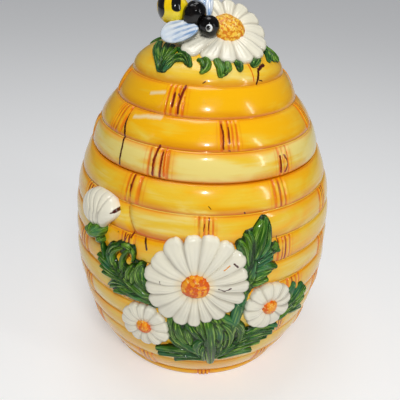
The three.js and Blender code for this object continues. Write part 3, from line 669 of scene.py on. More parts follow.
def petal_relief(share, across, petal, seed):
    """How far the petals stand out at a share of their reach."""
    chance = np.random.default_rng(seed)
    count = petal.max() + 1
    deep = chance.uniform(*PETAL_DEEP, count)
    valley = PETAL_VALLEY * np.where(across > 0, deep[petal], deep[petal - 1])
    lift = chance.uniform(-PETAL_LIFT, PETAL_LIFT, count)[petal]
    sway = chance.uniform(-FURROW_SWAY, FURROW_SWAY, count)[petal]
    swell = 0.66 + 0.34 * ease(share, 0.2, 0.58) - 0.2 * ease(share, 0.62, 1)
    out = PETAL_CREST * swell - valley * np.abs(across) ** 2.2 * (0.55 + 0.45 * share)
    out = out + PETAL_LAP * across * ease(share, 0.2, 0.6) + lift * share
    for furrow in FURROWS:
        near = np.exp(-(((across - furrow - sway) / FURROW_WIDTH) ** 2))
        out = out - FURROW_DEPTH * near * ease(share, 0.15, 0.5) * (1 - 0.6 * ease(share, 0.85, 1))
    return out


def petal_ring(tips, radius, seed):
    """Rings of a daisy's petals from the middle out, and what the glaze knows there."""
    angle, reach, across, petal = petal_columns(tips)
    rings = []
    shares = np.linspace(PETAL_START, PETAL_TURN_DOWN, PETAL_RINGS)
    shares = np.concatenate([shares, [0.93, 0.955, 0.975, 0.99, 1.0]])
    for share in shares:
        out = petal_relief(share, across, petal, seed)
        past = max(0.0, share - PETAL_TURN_DOWN) / (1 - PETAL_TURN_DOWN)
        turned_down = np.sqrt(max(0.0, 1 - past ** 2))
        out = PETAL_RIM + (out - PETAL_RIM) * turned_down
        spread = radius * reach ** ease(share, 0.1, 0.7) * share
        rings.append(np.stack([spread * np.cos(angle), spread * np.sin(angle), out], axis=-1))
    # the valley also tells the glaze where to paint grey shade between the petals
    facts = {
        "valley": np.tile(np.abs(across), (len(shares), 1)),
        "reach": np.repeat(shares[:, None], len(angle), axis=1),
    }
    return np.array(rings), facts


def with_skirt(rings, facts, depth):
    """The rings with the last one again at a depth, so that the piece has a side down to there."""
    skirt = rings[-1:].copy()
    skirt[..., 2] = depth
    facts = {fact: np.concatenate([values, values[-1:]]) for fact, values in facts.items()}
    return np.concatenate([rings, skirt]), facts


def petal_glaze(name, marks=()):
    """White glaze, with grey shade painted where the petals meet, and warmer towards the disc."""
    glaze = Glaze(name, 0.24, 0.5)
    reach = glaze.step(glaze.fact("reach"), 0.42, 0.24)
    fading = glaze.maths("MULTIPLY_ADD", glaze.step(glaze.noise(34.0, 2.0), 0.36, 0.6), 0.6, 0.12)
    white = glaze.painted(
        "milk",
        ("chalk", glaze.step(glaze.noise(45.0, 2.0), 0.35, 0.7)),
        # grey shade painted in the valleys where the petals meet, and in the bud's folds
        ("petal_shade", glaze.times(glaze.step(glaze.fact("valley"), 0.55, 1.0), fading)),
        ("honey", glaze.times(reach, glaze.step(glaze.noise(120.0), 0.2, 0.6), 0.55)),
    )
    if marks:
        white = glaze.marked(white, JAR_DEGREE, marks)
    glaze.relief((glaze.noise(170.0, 2.0), 0.12))
    return glaze.done(white)


jar_petal_glaze = petal_glaze("jar_petal_glaze", PETAL_MARKS)
for number, (daisy, facts) in enumerate(DAISIES.items()):
    rings, known = with_skirt(*petal_ring(facts["tips"], facts["radius"], DAISY_SEED + number), -BACK_DEPTH)
    ends = (0, 0, PETAL_MIDDLE), (0, 0, -BACK_DEPTH)
    ringed_piece(
        daisy + "_flower", daisy + "_petals", rings, known, ends, jar_petal_glaze, "jar",
        lambda skin: on_jar(facts["at"], skin),
    )

# Discs of the daisies: a dome of clay pricked all over, sponged with orange glaze, with brown strokes
# round its edge and paler specks in its middle.
DISC_CROWN = 6.2
DISC_FOOT = 1.5
DISC_BACK = 0.3
DISC_RINGS = 30
DISC_COLUMNS = 96
BUMP_RISE = 0.055
DISC_BUMPS = 70
DISC_DAB = 0.0034
DISC_SEED = 60
COLOURS |= {
    "tangerine": (252, 168, 30),
    "rust": (226, 94, 0),
    "pollen": (254, 226, 140),
    "brown": (170, 84, 6),
}


def all_round(count):
    """Angles all the way round, in radians."""
    return np.radians(np.linspace(0, 360, count, endpoint=False))


def pricked_dome(radius, crown, seed, bumps):
    """Rings of a dome with bumps all over it, and how high each point of it lies."""
    chance = np.random.default_rng(seed)
    turn = all_round(DISC_COLUMNS)
    spread = np.sqrt(chance.uniform(0.0, 0.95, bumps)) * radius
    around = chance.uniform(0, 2 * np.pi, bumps)
    seats = np.stack([spread * np.cos(around), spread * np.sin(around)], axis=-1)
    size = radius / 13 * chance.uniform(0.7, 1.3, bumps)
    outline = 1 + 0.03 * np.sin(3 * turn + seed) + 0.02 * np.sin(7 * turn + 2 * seed)
    rings, prick = [], []
    for lean in np.linspace(np.pi / 2 / DISC_RINGS, np.pi / 2, DISC_RINGS):
        across = radius * np.sin(lean) * outline
        place = np.stack([across * np.cos(turn), across * np.sin(turn)], axis=-1)
        gap = np.linalg.norm(place[:, None] - seats[None], axis=-1)
        bump = np.exp(-((gap / size) ** 2)).max(axis=1)
        lift = radius * BUMP_RISE * (bump - 1) * np.cos(lean) ** 0.3
        out = DISC_FOOT + (crown - DISC_FOOT) * np.cos(lean) ** 0.9 + lift
        rings.append(np.stack([place[:, 0], place[:, 1], out], axis=-1))
        prick.append(bump)
    rings, facts = with_skirt(np.array(rings), {"prick": np.array(prick)}, DISC_BACK)
    facts["reach"] = np.repeat(np.linspace(0, 1, DISC_RINGS + 1)[:, None], DISC_COLUMNS, axis=1)
    return rings, facts


def disc_glaze(name, dab, base, deep, pale, edge):
    """Sponged glaze in dabs of a size in metres: deeper ones, pale specks and strokes at the edge."""
    glaze = Glaze(name, 0.3, 0.2, 0.3)
    prick = glaze.fact("prick")
    specks = glaze.step(glaze.noise(300.0, 1.0), 0.48, 0.62)
    strokes = glaze.step(glaze.noise(420.0, 2.0), 0.42, 0.6)
    colour = glaze.painted(
        base,
        (deep, glaze.step(glaze.noise(1 / dab, 2.0), 0.46, 0.56)),
        (pale, glaze.times(glaze.step(prick, 0.5, 0.95), specks, 0.8)),
        (deep, glaze.times(glaze.step(prick, 0.35, 0.05), 0.3)),
        (edge, glaze.times(glaze.step(glaze.fact("reach"), 0.74, 0.98), strokes, 0.8)),
    )
    glaze.relief((glaze.noise(500.0, 2.0), 0.15))
    return glaze.done(colour)


orange_disc = disc_glaze("orange_disc_glaze", DISC_DAB, "tangerine", "rust", "pollen", "brown")
for number, (daisy, facts) in enumerate(DAISIES.items()):
    rings, known = pricked_dome(facts["disc"], DISC_CROWN, DISC_SEED + number, DISC_BUMPS)
    ends = rings[0].mean(axis=0), (0, 0, DISC_BACK)
    ringed_piece(
        daisy + "_eye", daisy + "_disc", rings, known, ends, orange_disc, "jar",
        lambda skin: on_jar(facts["at"], skin),
    )

# The half-open bud at the upper left: a pressed oval of folded petals that sits in a green calyx. Its
# folds run up from the calyx, and its right side is one smooth petal with a brown spot on it.
BUD_AT = (-44.5, 137.2)
BUD_HALF = (17.4, 12.8)
BUD_DEPTH = 9
BUD_RINGS = 40
BUD_COLUMNS = 160
BUD_TAPER = (0.42, 0.12)
FOLD_DEPTH = 0.8
FOLD_WIDTH = 0.045
FOLD_LAP = 0.5

# Where each fold crosses the bud at three shares of its half height, as a share of its half width
BUD_LEVELS = (-0.6, 0.2, 0.9)
BUD_FOLDS = [
    (-0.4, -0.5, -0.8), (-0.1, -0.1, -0.6), (0.1, 0.12, -0.2), (0.2, 0.28, 0.17), (0.28, 0.36, 0.5),
]
BUD_MARKS = [
    ("umber", 0.5, [(-35.7, 141.6), (-35, 142)]),
    ("umber", 1.3, [(-34.8, 142.6), (-34.4, 143.2)]),
]


def bud_rings():
    """Rings of the bud from its crown out to its side, and how deep in a fold each point lies."""
    turn = all_round(BUD_COLUMNS)
    taper = 1 - np.where(np.cos(turn) > 0, *BUD_TAPER) * ease(-np.sin(turn), -0.3, 0.7)
    power = np.where(np.sin(turn) > 0, 2.6, 2)
    full = (np.abs(np.cos(turn)) ** power + np.abs(np.sin(turn)) ** power) ** (-1 / power)
    rings, fold = [], []
    for lean in np.linspace(np.pi / 2 / BUD_RINGS, np.pi / 2, BUD_RINGS):
        across = BUD_HALF[0] * np.sin(lean) * np.cos(turn) * taper * full
        up = BUD_HALF[1] * np.sin(lean) * np.sin(turn) * full
        aside = across / BUD_HALF[0]
        folds = [np.interp(up / BUD_HALF[1], BUD_LEVELS, places) for places in BUD_FOLDS]
        dip = sum(np.exp(-(((aside - place) / FOLD_WIDTH) ** 2)) for place in folds)
        lap = FOLD_LAP * (ease(aside - folds[-1], 0, 0.1) - ease(aside - folds[-1], 0.1, 0.8))
        sunk = 1 - 0.35 * ease(-up / BUD_HALF[1], 0.3, 1)
        out = BUD_DEPTH * np.cos(lean) ** 0.75 * sunk - FOLD_DEPTH * dip * np.sin(lean) ** 0.4 + lap - 0.4
        rings.append(np.stack([across, up, out], axis=-1))
        fold.append(np.clip(dip, 0, 1))
    # how deep a fold is also tells the petal glaze where to paint grey shade in it
    facts = {"valley": np.array(fold), "reach": np.full(np.shape(fold), 0.7)}
    return with_skirt(np.array(rings), facts, -BACK_DEPTH)


rings, known = bud_rings()
ringed_piece(
    "bud_flower", "bud_petals", rings, known, (rings[0].mean(axis=0), (0, 0, -BACK_DEPTH)),
    petal_glaze("bud_glaze", BUD_MARKS), "jar", lambda skin: on_jar(BUD_AT, skin),
)

# Leaves on the jar: each is a fan of fingers pressed in one mould and luted down beside the daisies.
# Deep green glaze pools in the valleys between the fingers, and painted shade darkens their edges and
# creases further; a highlight is painted yellow green along their ribs.
# The bud's thin stem is made as a finger too.
LEAF_STEP = 0.36
LEAF_CREST = 3.3
LEAF_LOW = -3.4
LEAF_WEB = 0.3
LEAF_WEB_REACH = 0.4
LEAF_WEB_FALL = 1.6
LEAF_RIDGE = 0.3
LEAF_STACK = 0.12
LEAF_MARGIN = 3
LEAF_BACKING = 0.6
RIB_POINTS = 44
LEAF_SEED = 70

# A finger's shape: how round it is, how steeply it falls past its edge, how far its sides waver, the
# groove along its rib, and the crease where it meets another
FINGER_ROUND = 2.3
FINGER_FALL = 6.5
FINGER_WAVER = 0.07
RIB_DEPTH = 0.5
RIB_WIDTH = 0.13
CREASE_DEPTH = 0.9
CREASE_WIDTH = 0.4
COLOURS |= {
    "rib_highlight_green": (150, 184, 78),
    "moss": (82, 128, 22),
    "fern": (40, 100, 36),
    "olive": (44, 88, 18),
    "forest": (20, 60, 10),
    "pooled_and_shaded_green": (14, 42, 2),
    "bluish_highlight": (46, 120, 88),
}

# Each finger: half its width, and where it starts, bends and ends, as an angle and a height
JAR_LEAVES = {
    "left_leaf": [
        (2.3, (-32, 100.5), (-36, 103), (-44, 105)), (2.4, (-30.5, 97.5), (-38, 98.5), (-43.5, 102)),
        (2.3, (-29.5, 94.5), (-37, 97), (-42.5, 97)), (2.1, (-29, 93.5), (-34.5, 94.5), (-41.5, 93)),
        (2.5, (-27.5, 90.5), (-33.5, 95), (-38, 86)), (2.3, (-26.5, 91), (-32.5, 91.5), (-37, 84.5)),
        (2.8, (-22, 88), (-28, 86.5), (-35, 82.5)), (2.5, (-32, 99), (-41, 108), (-36, 117.5)),
        (2.2, (-37.5, 108), (-37.5, 119), (-31, 121)), (2.3, (-33.5, 100.5), (-39.5, 111), (-31, 119)),
        (2.2, (-30, 99.5), (-33.5, 111), (-26.5, 121)), (2.0, (-32, 120.5), (-27, 123.5), (-26.5, 118.5)),
        (1.2, (-26.5, 121.5), (-25, 118.5), (-26, 112.5)),
        (2.2, (-27.5, 95), (-29.5, 103), (-26.5, 108.5)),
        (2.2, (-26, 92.5), (-26.5, 103), (-25, 107)), (2.6, (-21, 94), (-26.5, 102), (-22.5, 112)),
        (2.4, (-20.5, 94.5), (-22, 105.5), (-22, 110)), (2.3, (-28.5, 94.5), (-31.5, 96.5), (-30, 105.5)),
        (2.3, (-29.5, 95.5), (-34, 100), (-34.5, 105)), (4.0, (-16, 83), (-25, 93), (-32, 99)),
        (4.1, (-18, 84), (-26, 86), (-33, 88)),
    ],
    "upper_right_leaf": [
        (3.2, (20, 111), (18.5, 134), (23.5, 143.5)), (3.4, (19.5, 114.5), (24, 128.5), (25.5, 144.5)),
        (3.1, (21.5, 117.5), (27.5, 127), (26.5, 141)), (2.4, (19, 113.5), (21, 134), (18.5, 138)),
        (2.5, (19, 115), (19.5, 133), (17, 136.5)), (2.7, (18.5, 113.5), (18, 128), (15, 132.5)),
        (2.4, (17.5, 118.5), (15, 127.5), (14.5, 130.5)),
        (3.1, (20.5, 115.5), (27, 120), (30, 126.5)), (2.7, (22.5, 119.5), (28, 125), (31, 122.5)),
        (3.2, (19.5, 110), (25, 115), (30, 111)), (2.8, (21, 114), (25.5, 118.5), (28, 118)),
        (3.2, (20, 104.5), (24, 107), (27.5, 109)), (3.0, (19.5, 101), (23.5, 102), (26.5, 102.5)),
        (4.8, (18, 100), (17, 110), (17, 117.5)), (4.2, (13.5, 58), (15.5, 80.5), (19.5, 106.5)),
        (4.4, (18.5, 98), (20, 108), (21, 119.5)),
    ],
    "far_right_leaf": [
        (3.9, (38.8, 66.9), (41.6, 76.9), (46.6, 85.4)),
        (3.5, (39.6, 72.7), (39.4, 84.4), (41.3, 89.6)),
        (3.7, (41.4, 73), (46.5, 74.5), (49.6, 79.5)), (3.7, (40.8, 68.7), (46.4, 68.2), (49.4, 73)),
        (3.5, (40.2, 66.8), (44.2, 65.4), (49.2, 63.2)),
        (4.1, (36.5, 64), (40, 68), (43, 73)),
    ],
    "low_middle_leaf": [
        (6.0, (3.2, 78), (5.9, 57.7), (7.1, 29)), (3.9, (5.3, 74.1), (17.2, 69.3), (12.6, 44.3)),
        (3.5, (6.7, 70.8), (14.4, 63.7), (10.4, 42)), (3.2, (8.2, 56.3), (13, 50.6), (9.4, 38)),
        (3.9, (8.1, 77), (20.3, 70), (18.1, 53.2)), (4.2, (-8.4, 72), (-8.1, 61.2), (-4.6, 52.8)),
        (3.8, (-4.2, 73), (-1.6, 65.1), (2.4, 57.7)), (3.2, (-4.1, 65.5), (-3.3, 58.1), (-2.3, 52.2)),
        (3.5, (2.5, 56.6), (-1.9, 50.4), (2, 37.2)), (3.1, (4, 49.7), (1.9, 43.5), (3.9, 32.8)),
        (3.5, (-10.1, 73.2), (-10.7, 62.3), (-8.6, 55.2)),
        (4.8, (0, 75.8), (1.8, 67.6), (3.6, 58.1)), (4.8, (7, 76), (11, 66), (9.5, 50)),
    ],
    "low_left_leaf": [
        (3.9, (2.5, 40.2), (-4.6, 48.6), (-10.8, 57.4)),
        (4.1, (2, 38.7), (-6.9, 44.2), (-17, 39.7)), (3.8, (2.1, 36.2), (-7, 38.5), (-16.4, 33.4)),
        (3.1, (3.6, 33.3), (-3.2, 36.8), (-9.1, 29.2)), (3.5, (-1.3, 43.3), (-8.6, 51.9), (-10.4, 55.2)),
        (4.2, (3, 36), (-3, 41), (-9, 41)),
    ],
    "low_right_leaf": [
        (3.8, (10.9, 34.5), (17.4, 39.8), (25.1, 36.6)),
        (3.9, (10.1, 36.7), (18.8, 48.5), (27.8, 45)), (3.9, (12.8, 42.9), (20.9, 53.1), (30.8, 48.8)),
        (3.9, (16.8, 49), (22.9, 57.6), (33.2, 51.4)), (3.5, (18.3, 54), (23.9, 62.7), (33.8, 55.4)),
        (3.2, (20.9, 58.8), (26.3, 63.4), (35.3, 56.8)),
        (4.1, (9, 36), (14, 45), (22, 54)),
    ],
    "bud_stem": [(0.8, (-42, 116.5), (-41, 112), (-40, 104))],
}


def bent_line(start, bend, end, degree):
    """Points along a finger's rib, in millimetres across and up."""
    along = np.linspace(0, 1, RIB_POINTS)[:, None]
    points = [np.array([angle * degree, height]) for angle, height in (start, bend, end)]
    line = (1 - along) ** 2 * points[0] + 2 * along * (1 - along) * points[1] + along ** 2 * points[2]
    return line, along[:, 0]


def finger_relief(spots, fingers, degree, crest, seed):
    """The height of a leaf's fingers at each spot, and where the spot lies on its nearest finger."""
    chance = np.random.default_rng(seed)
    index = np.arange(len(spots))
    best, second = np.full((2, len(spots)), -50.0)
    nearer, farther = np.full((2, len(spots)), 99.0)
    side, along_best, hue = np.zeros((3, len(spots)))
    for number, (half, start, bend, end) in enumerate(fingers):
        line, along = bent_line(start, bend, end, degree)
        tangent = np.gradient(line, axis=0)
        tangent /= np.linalg.norm(tangent, axis=1)[:, None]
        width = half * (0.5 + 0.5 * np.sin(np.pi * (0.16 + 0.78 * along)))
        width *= 1 + FINGER_WAVER * np.sin(3.2 * np.pi * along + 2 * number)
        away = spots[:, None] - line[None]
        share = np.linalg.norm(away, axis=-1) / width
        nearest = share.argmin(axis=1)
        gap, away, here = share[index, nearest], away[index, nearest], along[nearest]
        edge = (gap - 1) * width[nearest]
        nearer, farther = np.minimum(nearer, edge), np.minimum(farther, np.maximum(nearer, edge))
        turn = tangent[nearest, 0] * away[:, 1] - tangent[nearest, 1] * away[:, 0]
        top = crest * (0.72 + 0.28 * np.sin(np.pi * (0.15 + 0.7 * here))) * (0.85 + 0.05 * half)
        rib = RIB_DEPTH * np.exp(-((gap / RIB_WIDTH) ** 2)) * ease(1 - here, 0.1, 0.4)
        rib = rib * ease(half, 2.2, 3.2)
        ridge = LEAF_RIDGE * np.cos(gap * 8.5) * ease(1 - gap, 0, 0.3) * ease(half, 2.2, 3.6)
        height = top * (1 - np.minimum(gap, 1.15) ** FINGER_ROUND)
        height = height - FINGER_FALL * np.maximum(gap - 1.0, 0) * half + ridge - rib
        height += LEAF_STACK * number / len(fingers)
        better = height > best
        second = np.where(better, best, np.maximum(second, height))
        best = np.where(better, height, best)
        side = np.where(better, np.clip(gap, 0, 1.3) * np.sign(turn), side)
        along_best = np.where(better, here, along_best)
        hue = np.where(better, chance.uniform(0, 1), hue)
    # where fingers meet, which the glaze darkens with pooled glaze and painted shade
    crease = np.exp(-(((best - second) / CREASE_WIDTH) ** 2)) * ease(second, 0.2, 1)
    web = crest * LEAF_WEB - LEAF_WEB_FALL * np.maximum(nearer + farther - crest * LEAF_WEB_REACH, 0)
    sunk = best - CREASE_DEPTH * crease
    crease = np.maximum(crease, ease(web - sunk, -0.2, 0.4))
    return np.maximum(sunk, web), {"side": side, "along": along_best, "hue": hue, "crease": crease}


def petal_clearance(spots):
    """How far each spot of the jar's side lies outside the nearest daisy."""
    clear = np.full(len(spots), 99.0)
    for facts in DAISIES.values():
        angle, reach, _, _ = petal_columns(facts["tips"])
        order = np.argsort(angle % (2 * np.pi))
        middle = np.array([np.radians(facts["at"][0]) * BELLY_RADIUS, facts["at"][1]])
        away = spots - middle
        turn = np.arctan2(away[:, 1], away[:, 0]) % (2 * np.pi)
        outline = np.interp(turn, (angle % (2 * np.pi))[order], reach[order], period=2 * np.pi)
        clear = np.minimum(clear, np.linalg.norm(away, axis=1) - outline * facts["radius"])
    return clear


def leaf_piece(leaf, fingers, degree, crest, step, low, seed, body, lay, clear_of=None):
    """A closed skin over a grid that holds a leaf's fingers, with its back buried in what carries it."""
    ends = np.array([point for finger in fingers for point in finger[1:]]) * (degree, 1)
    margin = max(finger[0] for finger in fingers) + LEAF_MARGIN
    xs = np.arange(ends[:, 0].min() - margin, ends[:, 0].max() + margin, step)
    ys = np.arange(ends[:, 1].min() - margin, ends[:, 1].max() + margin, step)
    spots = np.stack(np.meshgrid(xs, ys, indexing="ij"), axis=-1).reshape(-1, 2)
    out, facts = finger_relief(spots, fingers, degree, crest, seed)
    if clear_of is not None:
        out = np.where(out > 0, out * (0.3 + 0.7 * ease(clear_of(spots), -1, 5)), out)
    out = np.maximum(out, low)
    at = np.arange(len(spots)).reshape(len(xs), len(ys))
    top = np.stack([at[:-1, :-1], at[1:, :-1], at[1:, 1:], at[:-1, 1:]], axis=-1)
    cell = (out[top] > low + 0.01).any(axis=-1)
    quads = [top[cell], top[cell][:, ::-1] + at.size]
    around = np.pad(cell, 1)
    sides = around[1:-1, :-2], around[2:, 1:-1], around[1:-1, 2:], around[:-2, 1:-1]
    for corner, beside in enumerate(sides):
        a, b = top[cell & ~beside][:, (corner, (corner + 1) % 4)].T
        quads.append(np.stack([b, a, a + at.size, b + at.size], axis=-1))
    back = np.full(len(spots), low - LEAF_BACKING)
    points = np.concatenate([np.column_stack([spots, out]), np.column_stack([spots, back])])
    used, quads = np.unique(np.concatenate(quads), return_inverse=True)
    facts = {fact: np.concatenate([values, values])[used] for fact, values in facts.items()}
    faces = [quads.reshape(-1, 4)]
    fired_piece(leaf + "_spray", leaf, lay(points[used]), faces, facts, green_glaze, body)


def leaf_glaze(name):
    """Green glaze: dark in the valleys with painted shade, and a painted highlight along each finger."""
    glaze = Glaze(name, 0.26, 0.25, 0.3)
    side, along, hue = glaze.fact("side"), glaze.fact("along"), glaze.fact("hue")
    brushed = (glaze.times(side, 3.4), glaze.times(hue, 17.0), glaze.times(along, 1.6))
    strokes = glaze.node("TexNoise", glaze.node("CombineXYZ", *brushed).outputs[0])
    strokes.inputs["Scale"].default_value = 1.6
    strokes.inputs["Detail"].default_value = 3.0
    strokes = strokes.outputs[0]
    gap = glaze.maths("ABSOLUTE", side)
    edge = glaze.maths("MAXIMUM", glaze.step(gap, 0.8, 1.05), glaze.fact("crease"))
    green = glaze.painted(
        "moss",
        ("fern", glaze.step(hue, 0.2, 0.8)),
        ("olive", glaze.step(glaze.noise(70.0, 2.0), 0.4, 0.7)),
        ("forest", glaze.times(glaze.step(strokes, 0.5, 0.38), 0.75)),
        # a highlight painted yellow green along the middle of each finger
        ("rib_highlight_green", glaze.times(glaze.step(strokes, 0.54, 0.64), glaze.step(gap, 0.95, 0.5), 0.85)),
        # bluish highlights painted in patches over the leaves
        ("bluish_highlight", glaze.times(glaze.step(glaze.noise(48.0, 2.0), 0.54, 0.66), 0.45)),
        # dark green on the edges and in the creases: partly pooled glaze, partly painted shade
        ("pooled_and_shaded_green", glaze.times(edge, 0.92)),
    )
    glaze.relief((strokes, 0.25), (glaze.noise(260.0, 2.0), 0.1))
    return glaze.done(green)


green_glaze = leaf_glaze("leaf_glaze")
for number, (leaf, fingers) in enumerate(JAR_LEAVES.items()):
    leaf_piece(
        leaf, fingers, JAR_DEGREE, LEAF_CREST, LEAF_STEP, LEAF_LOW, LEAF_SEED + number, "jar",
        lambda skin: on_jar((0, 0), skin), petal_clearance,
    )

# The calyx that holds the bud, with its sepals gripping the petals, and the round knob under it where
# the stem begins. Both are pressed clay in the green glaze of the leaves.
CALYX_AT = (-44, 124.6)
CALYX_HALF = (7.4, 5.5)
CALYX_DEPTH = 9.6
CALYX_LEAN = 24
KNOB_AT = (-42.5, 118.4)
KNOB_RADIUS = 3.4
KNOB_DEPTH = 5
SEPAL_RINGS = 26
SEPAL_COLUMNS = 120
SEPAL_VALLEY = 0.7
SEPAL_HUE = 0.3


def sepal_dome(half, depth, sepals, lean_over, seed):
    """Rings of a dome ridged into sepals that reach up, and where each point lies on its sepal."""
    turn = all_round(SEPAL_COLUMNS)
    wave = np.cos(turn * sepals + seed)
    upper = ease(np.sin(turn), -0.2, 0.6)
    reach = 1 + 0.1 * wave * upper
    rings, side, along = [], [], []
    for lean in np.linspace(np.pi / 2 / SEPAL_RINGS, np.pi / 2, SEPAL_RINGS):
        long = half[0] * np.sin(lean) * np.cos(turn) * reach
        high = half[1] * np.sin(lean) * np.sin(turn) * reach
        across = long * np.cos(lean_over) - high * np.sin(lean_over)
        up = long * np.sin(lean_over) + high * np.cos(lean_over)
        valley = (1 - wave) / 2 * np.sin(lean)
        out = depth * np.cos(lean) ** (0.75 - 0.4 * upper) - SEPAL_VALLEY * valley
        rings.append(np.stack([across, up, out], axis=-1))
        # the green glaze darkens where the sepals meet, partly pooled glaze and partly painted shade
        side.append(valley)
        along.append(np.full(turn.shape, np.sin(lean)))
    facts = {"side": np.array(side), "along": np.array(along), "hue": np.full(np.shape(side), SEPAL_HUE)}
    return with_skirt(np.array(rings), facts, -BACK_DEPTH)


for node, place, half, depth, sepals, lean_over in (
    ("bud_calyx", CALYX_AT, CALYX_HALF, CALYX_DEPTH, 7, CALYX_LEAN),
    ("bud_knob", KNOB_AT, (KNOB_RADIUS, KNOB_RADIUS), KNOB_DEPTH, 3, 0),
):
    rings, known = sepal_dome(half, depth, sepals, np.radians(lean_over), 1)
    ringed_piece(
        node + "_cup", node, rings, known, (rings[0].mean(axis=0), (0, 0, -BACK_DEPTH)), green_glaze,
        "jar", lambda skin: on_jar(place, skin),
    )

# The daisy on the lid is thicker than the others, because with the bee it is what the lid is lifted by.
# It leans to the front on a stout base, its petals curve down at both sides, and its disc is amber.
TOP_DAISY = Matrix.Translation((11.19, -14.99, 243.0)) @ Matrix.Rotation(np.radians(16.3), 4, "Z")
TOP_DAISY = TOP_DAISY @ Matrix.Rotation(np.radians(41), 4, "X")
TOP_DAISY_RADIUS = 28
TOP_PETAL_THICKNESS = 3.2
TOP_PETAL_DROOP = 4.5
TOP_PETAL_LIFT = 5
TOP_PETAL_REACHES = (0.95, 0.93, 0.9, 0.86, 0.86, 0.93, 1, 1.24, 1.22, 1.08, 1.02, 1.04, 1.02, 0.98)
TOP_PETAL_RIM = 0.8
TOP_PETAL_NOTCH = 0.11
TOP_DAISY_SEED = 80
BASE_RADIUS = 13
BASE_DEPTH = 17.5
BASE_TOP = 3.4
TOP_DISC_RADIUS = 11
TOP_DISC_CROWN = 7.8
TOP_DISC_BUMPS = 110
TOP_DISC_DAB = 0.0016
TOP_DISC_SEED = 90
COLOURS |= {
    "primrose": (254, 234, 150),
    "yolk": (250, 202, 70),
    "caramel": (226, 150, 40),
    "ochre": (220, 128, 16),
}


def set_at(matrix, skin):
    """Lays a skin of millimetres in a frame of its own."""
    turned = np.array(matrix.to_3x3())
    return skin @ turned.T + np.array(matrix.translation)


def top_bend(turn, share):
    """How far the top daisy's petals bend out of their plane, at a share of its radius."""
    front = np.maximum(0, -np.sin(turn))
    bend = TOP_PETAL_LIFT * front ** 2 - TOP_PETAL_DROOP * np.cos(turn) ** 2
    return bend * np.clip((share - 0.3) / 0.7, 0, 1) ** 1.5


count = len(TOP_PETAL_REACHES)
tips = [(at * 360 / count, reach, TOP_PETAL_NOTCH) for at, reach in enumerate(TOP_PETAL_REACHES)]
rings, known = petal_ring(tips, TOP_DAISY_RADIUS, TOP_DAISY_SEED)
turn = np.arctan2(rings[..., 1], rings[..., 0])
spread = np.hypot(rings[..., 0], rings[..., 1]) / TOP_DAISY_RADIUS
rings[..., 2] += top_bend(turn, spread)
under_rings = []
for share, thick in ((1, 0.55), (0.97, 0.92), (0.88, 1), (0.75, 1), (0.62, 1), (0.5, 1)):
    under = rings[-1].copy()
    under[:, :2] *= share
    under[:, 2] = TOP_PETAL_RIM - TOP_PETAL_THICKNESS * thick + top_bend(turn[-1], spread[-1] * share)
    under_rings.append(under)
angle = np.unwrap(turn[-1])
for inset, depth in ((0, BASE_TOP), (0, BASE_DEPTH - 1), (1, BASE_DEPTH)):
    radius = BASE_RADIUS - inset
    base = np.stack([radius * np.cos(angle), radius * np.sin(angle), angle * 0 - depth], axis=-1)
    under_rings.append(base)
for fact, values in known.items():
    known[fact] = np.concatenate([values, values[-1:].repeat(len(under_rings), 0)])
ringed_piece(
    "top_daisy_flower", "top_daisy_petals", np.concatenate([rings, under_rings]), known,
    ((0, 0, PETAL_MIDDLE), (0, 0, -BASE_DEPTH)), petal_glaze("top_petal_glaze"), "lid",
    lambda skin: set_at(TOP_DAISY, skin),
)

rings, known = pricked_dome(TOP_DISC_RADIUS, TOP_DISC_CROWN, TOP_DISC_SEED, TOP_DISC_BUMPS)
ringed_piece(
    "top_daisy_eye", "top_daisy_disc", rings, known, (rings[0].mean(axis=0), (0, 0, DISC_BACK)),
    disc_glaze("amber_disc_glaze", TOP_DISC_DAB, "yolk", "ochre", "primrose", "caramel"), "lid",
    lambda skin: set_at(TOP_DAISY, skin),
)

# Leaves round the cap, under the top daisy: short fingers laid side by side, seven in view from the
# front and right and four more that carry on round the back.
CAP_RADIUS = LID_RADII[-1]
CAP_ARC = (CAP_RADIUS + CAP_RISE) / 2
CAP_DEGREE = np.radians(1) * CAP_RADIUS
CAP_LEAF_CREST = 2.5
CAP_LEAF_STEP = 0.3
CAP_LEAF_LOW = -1.0
CAP_LEAF_SEED = 100

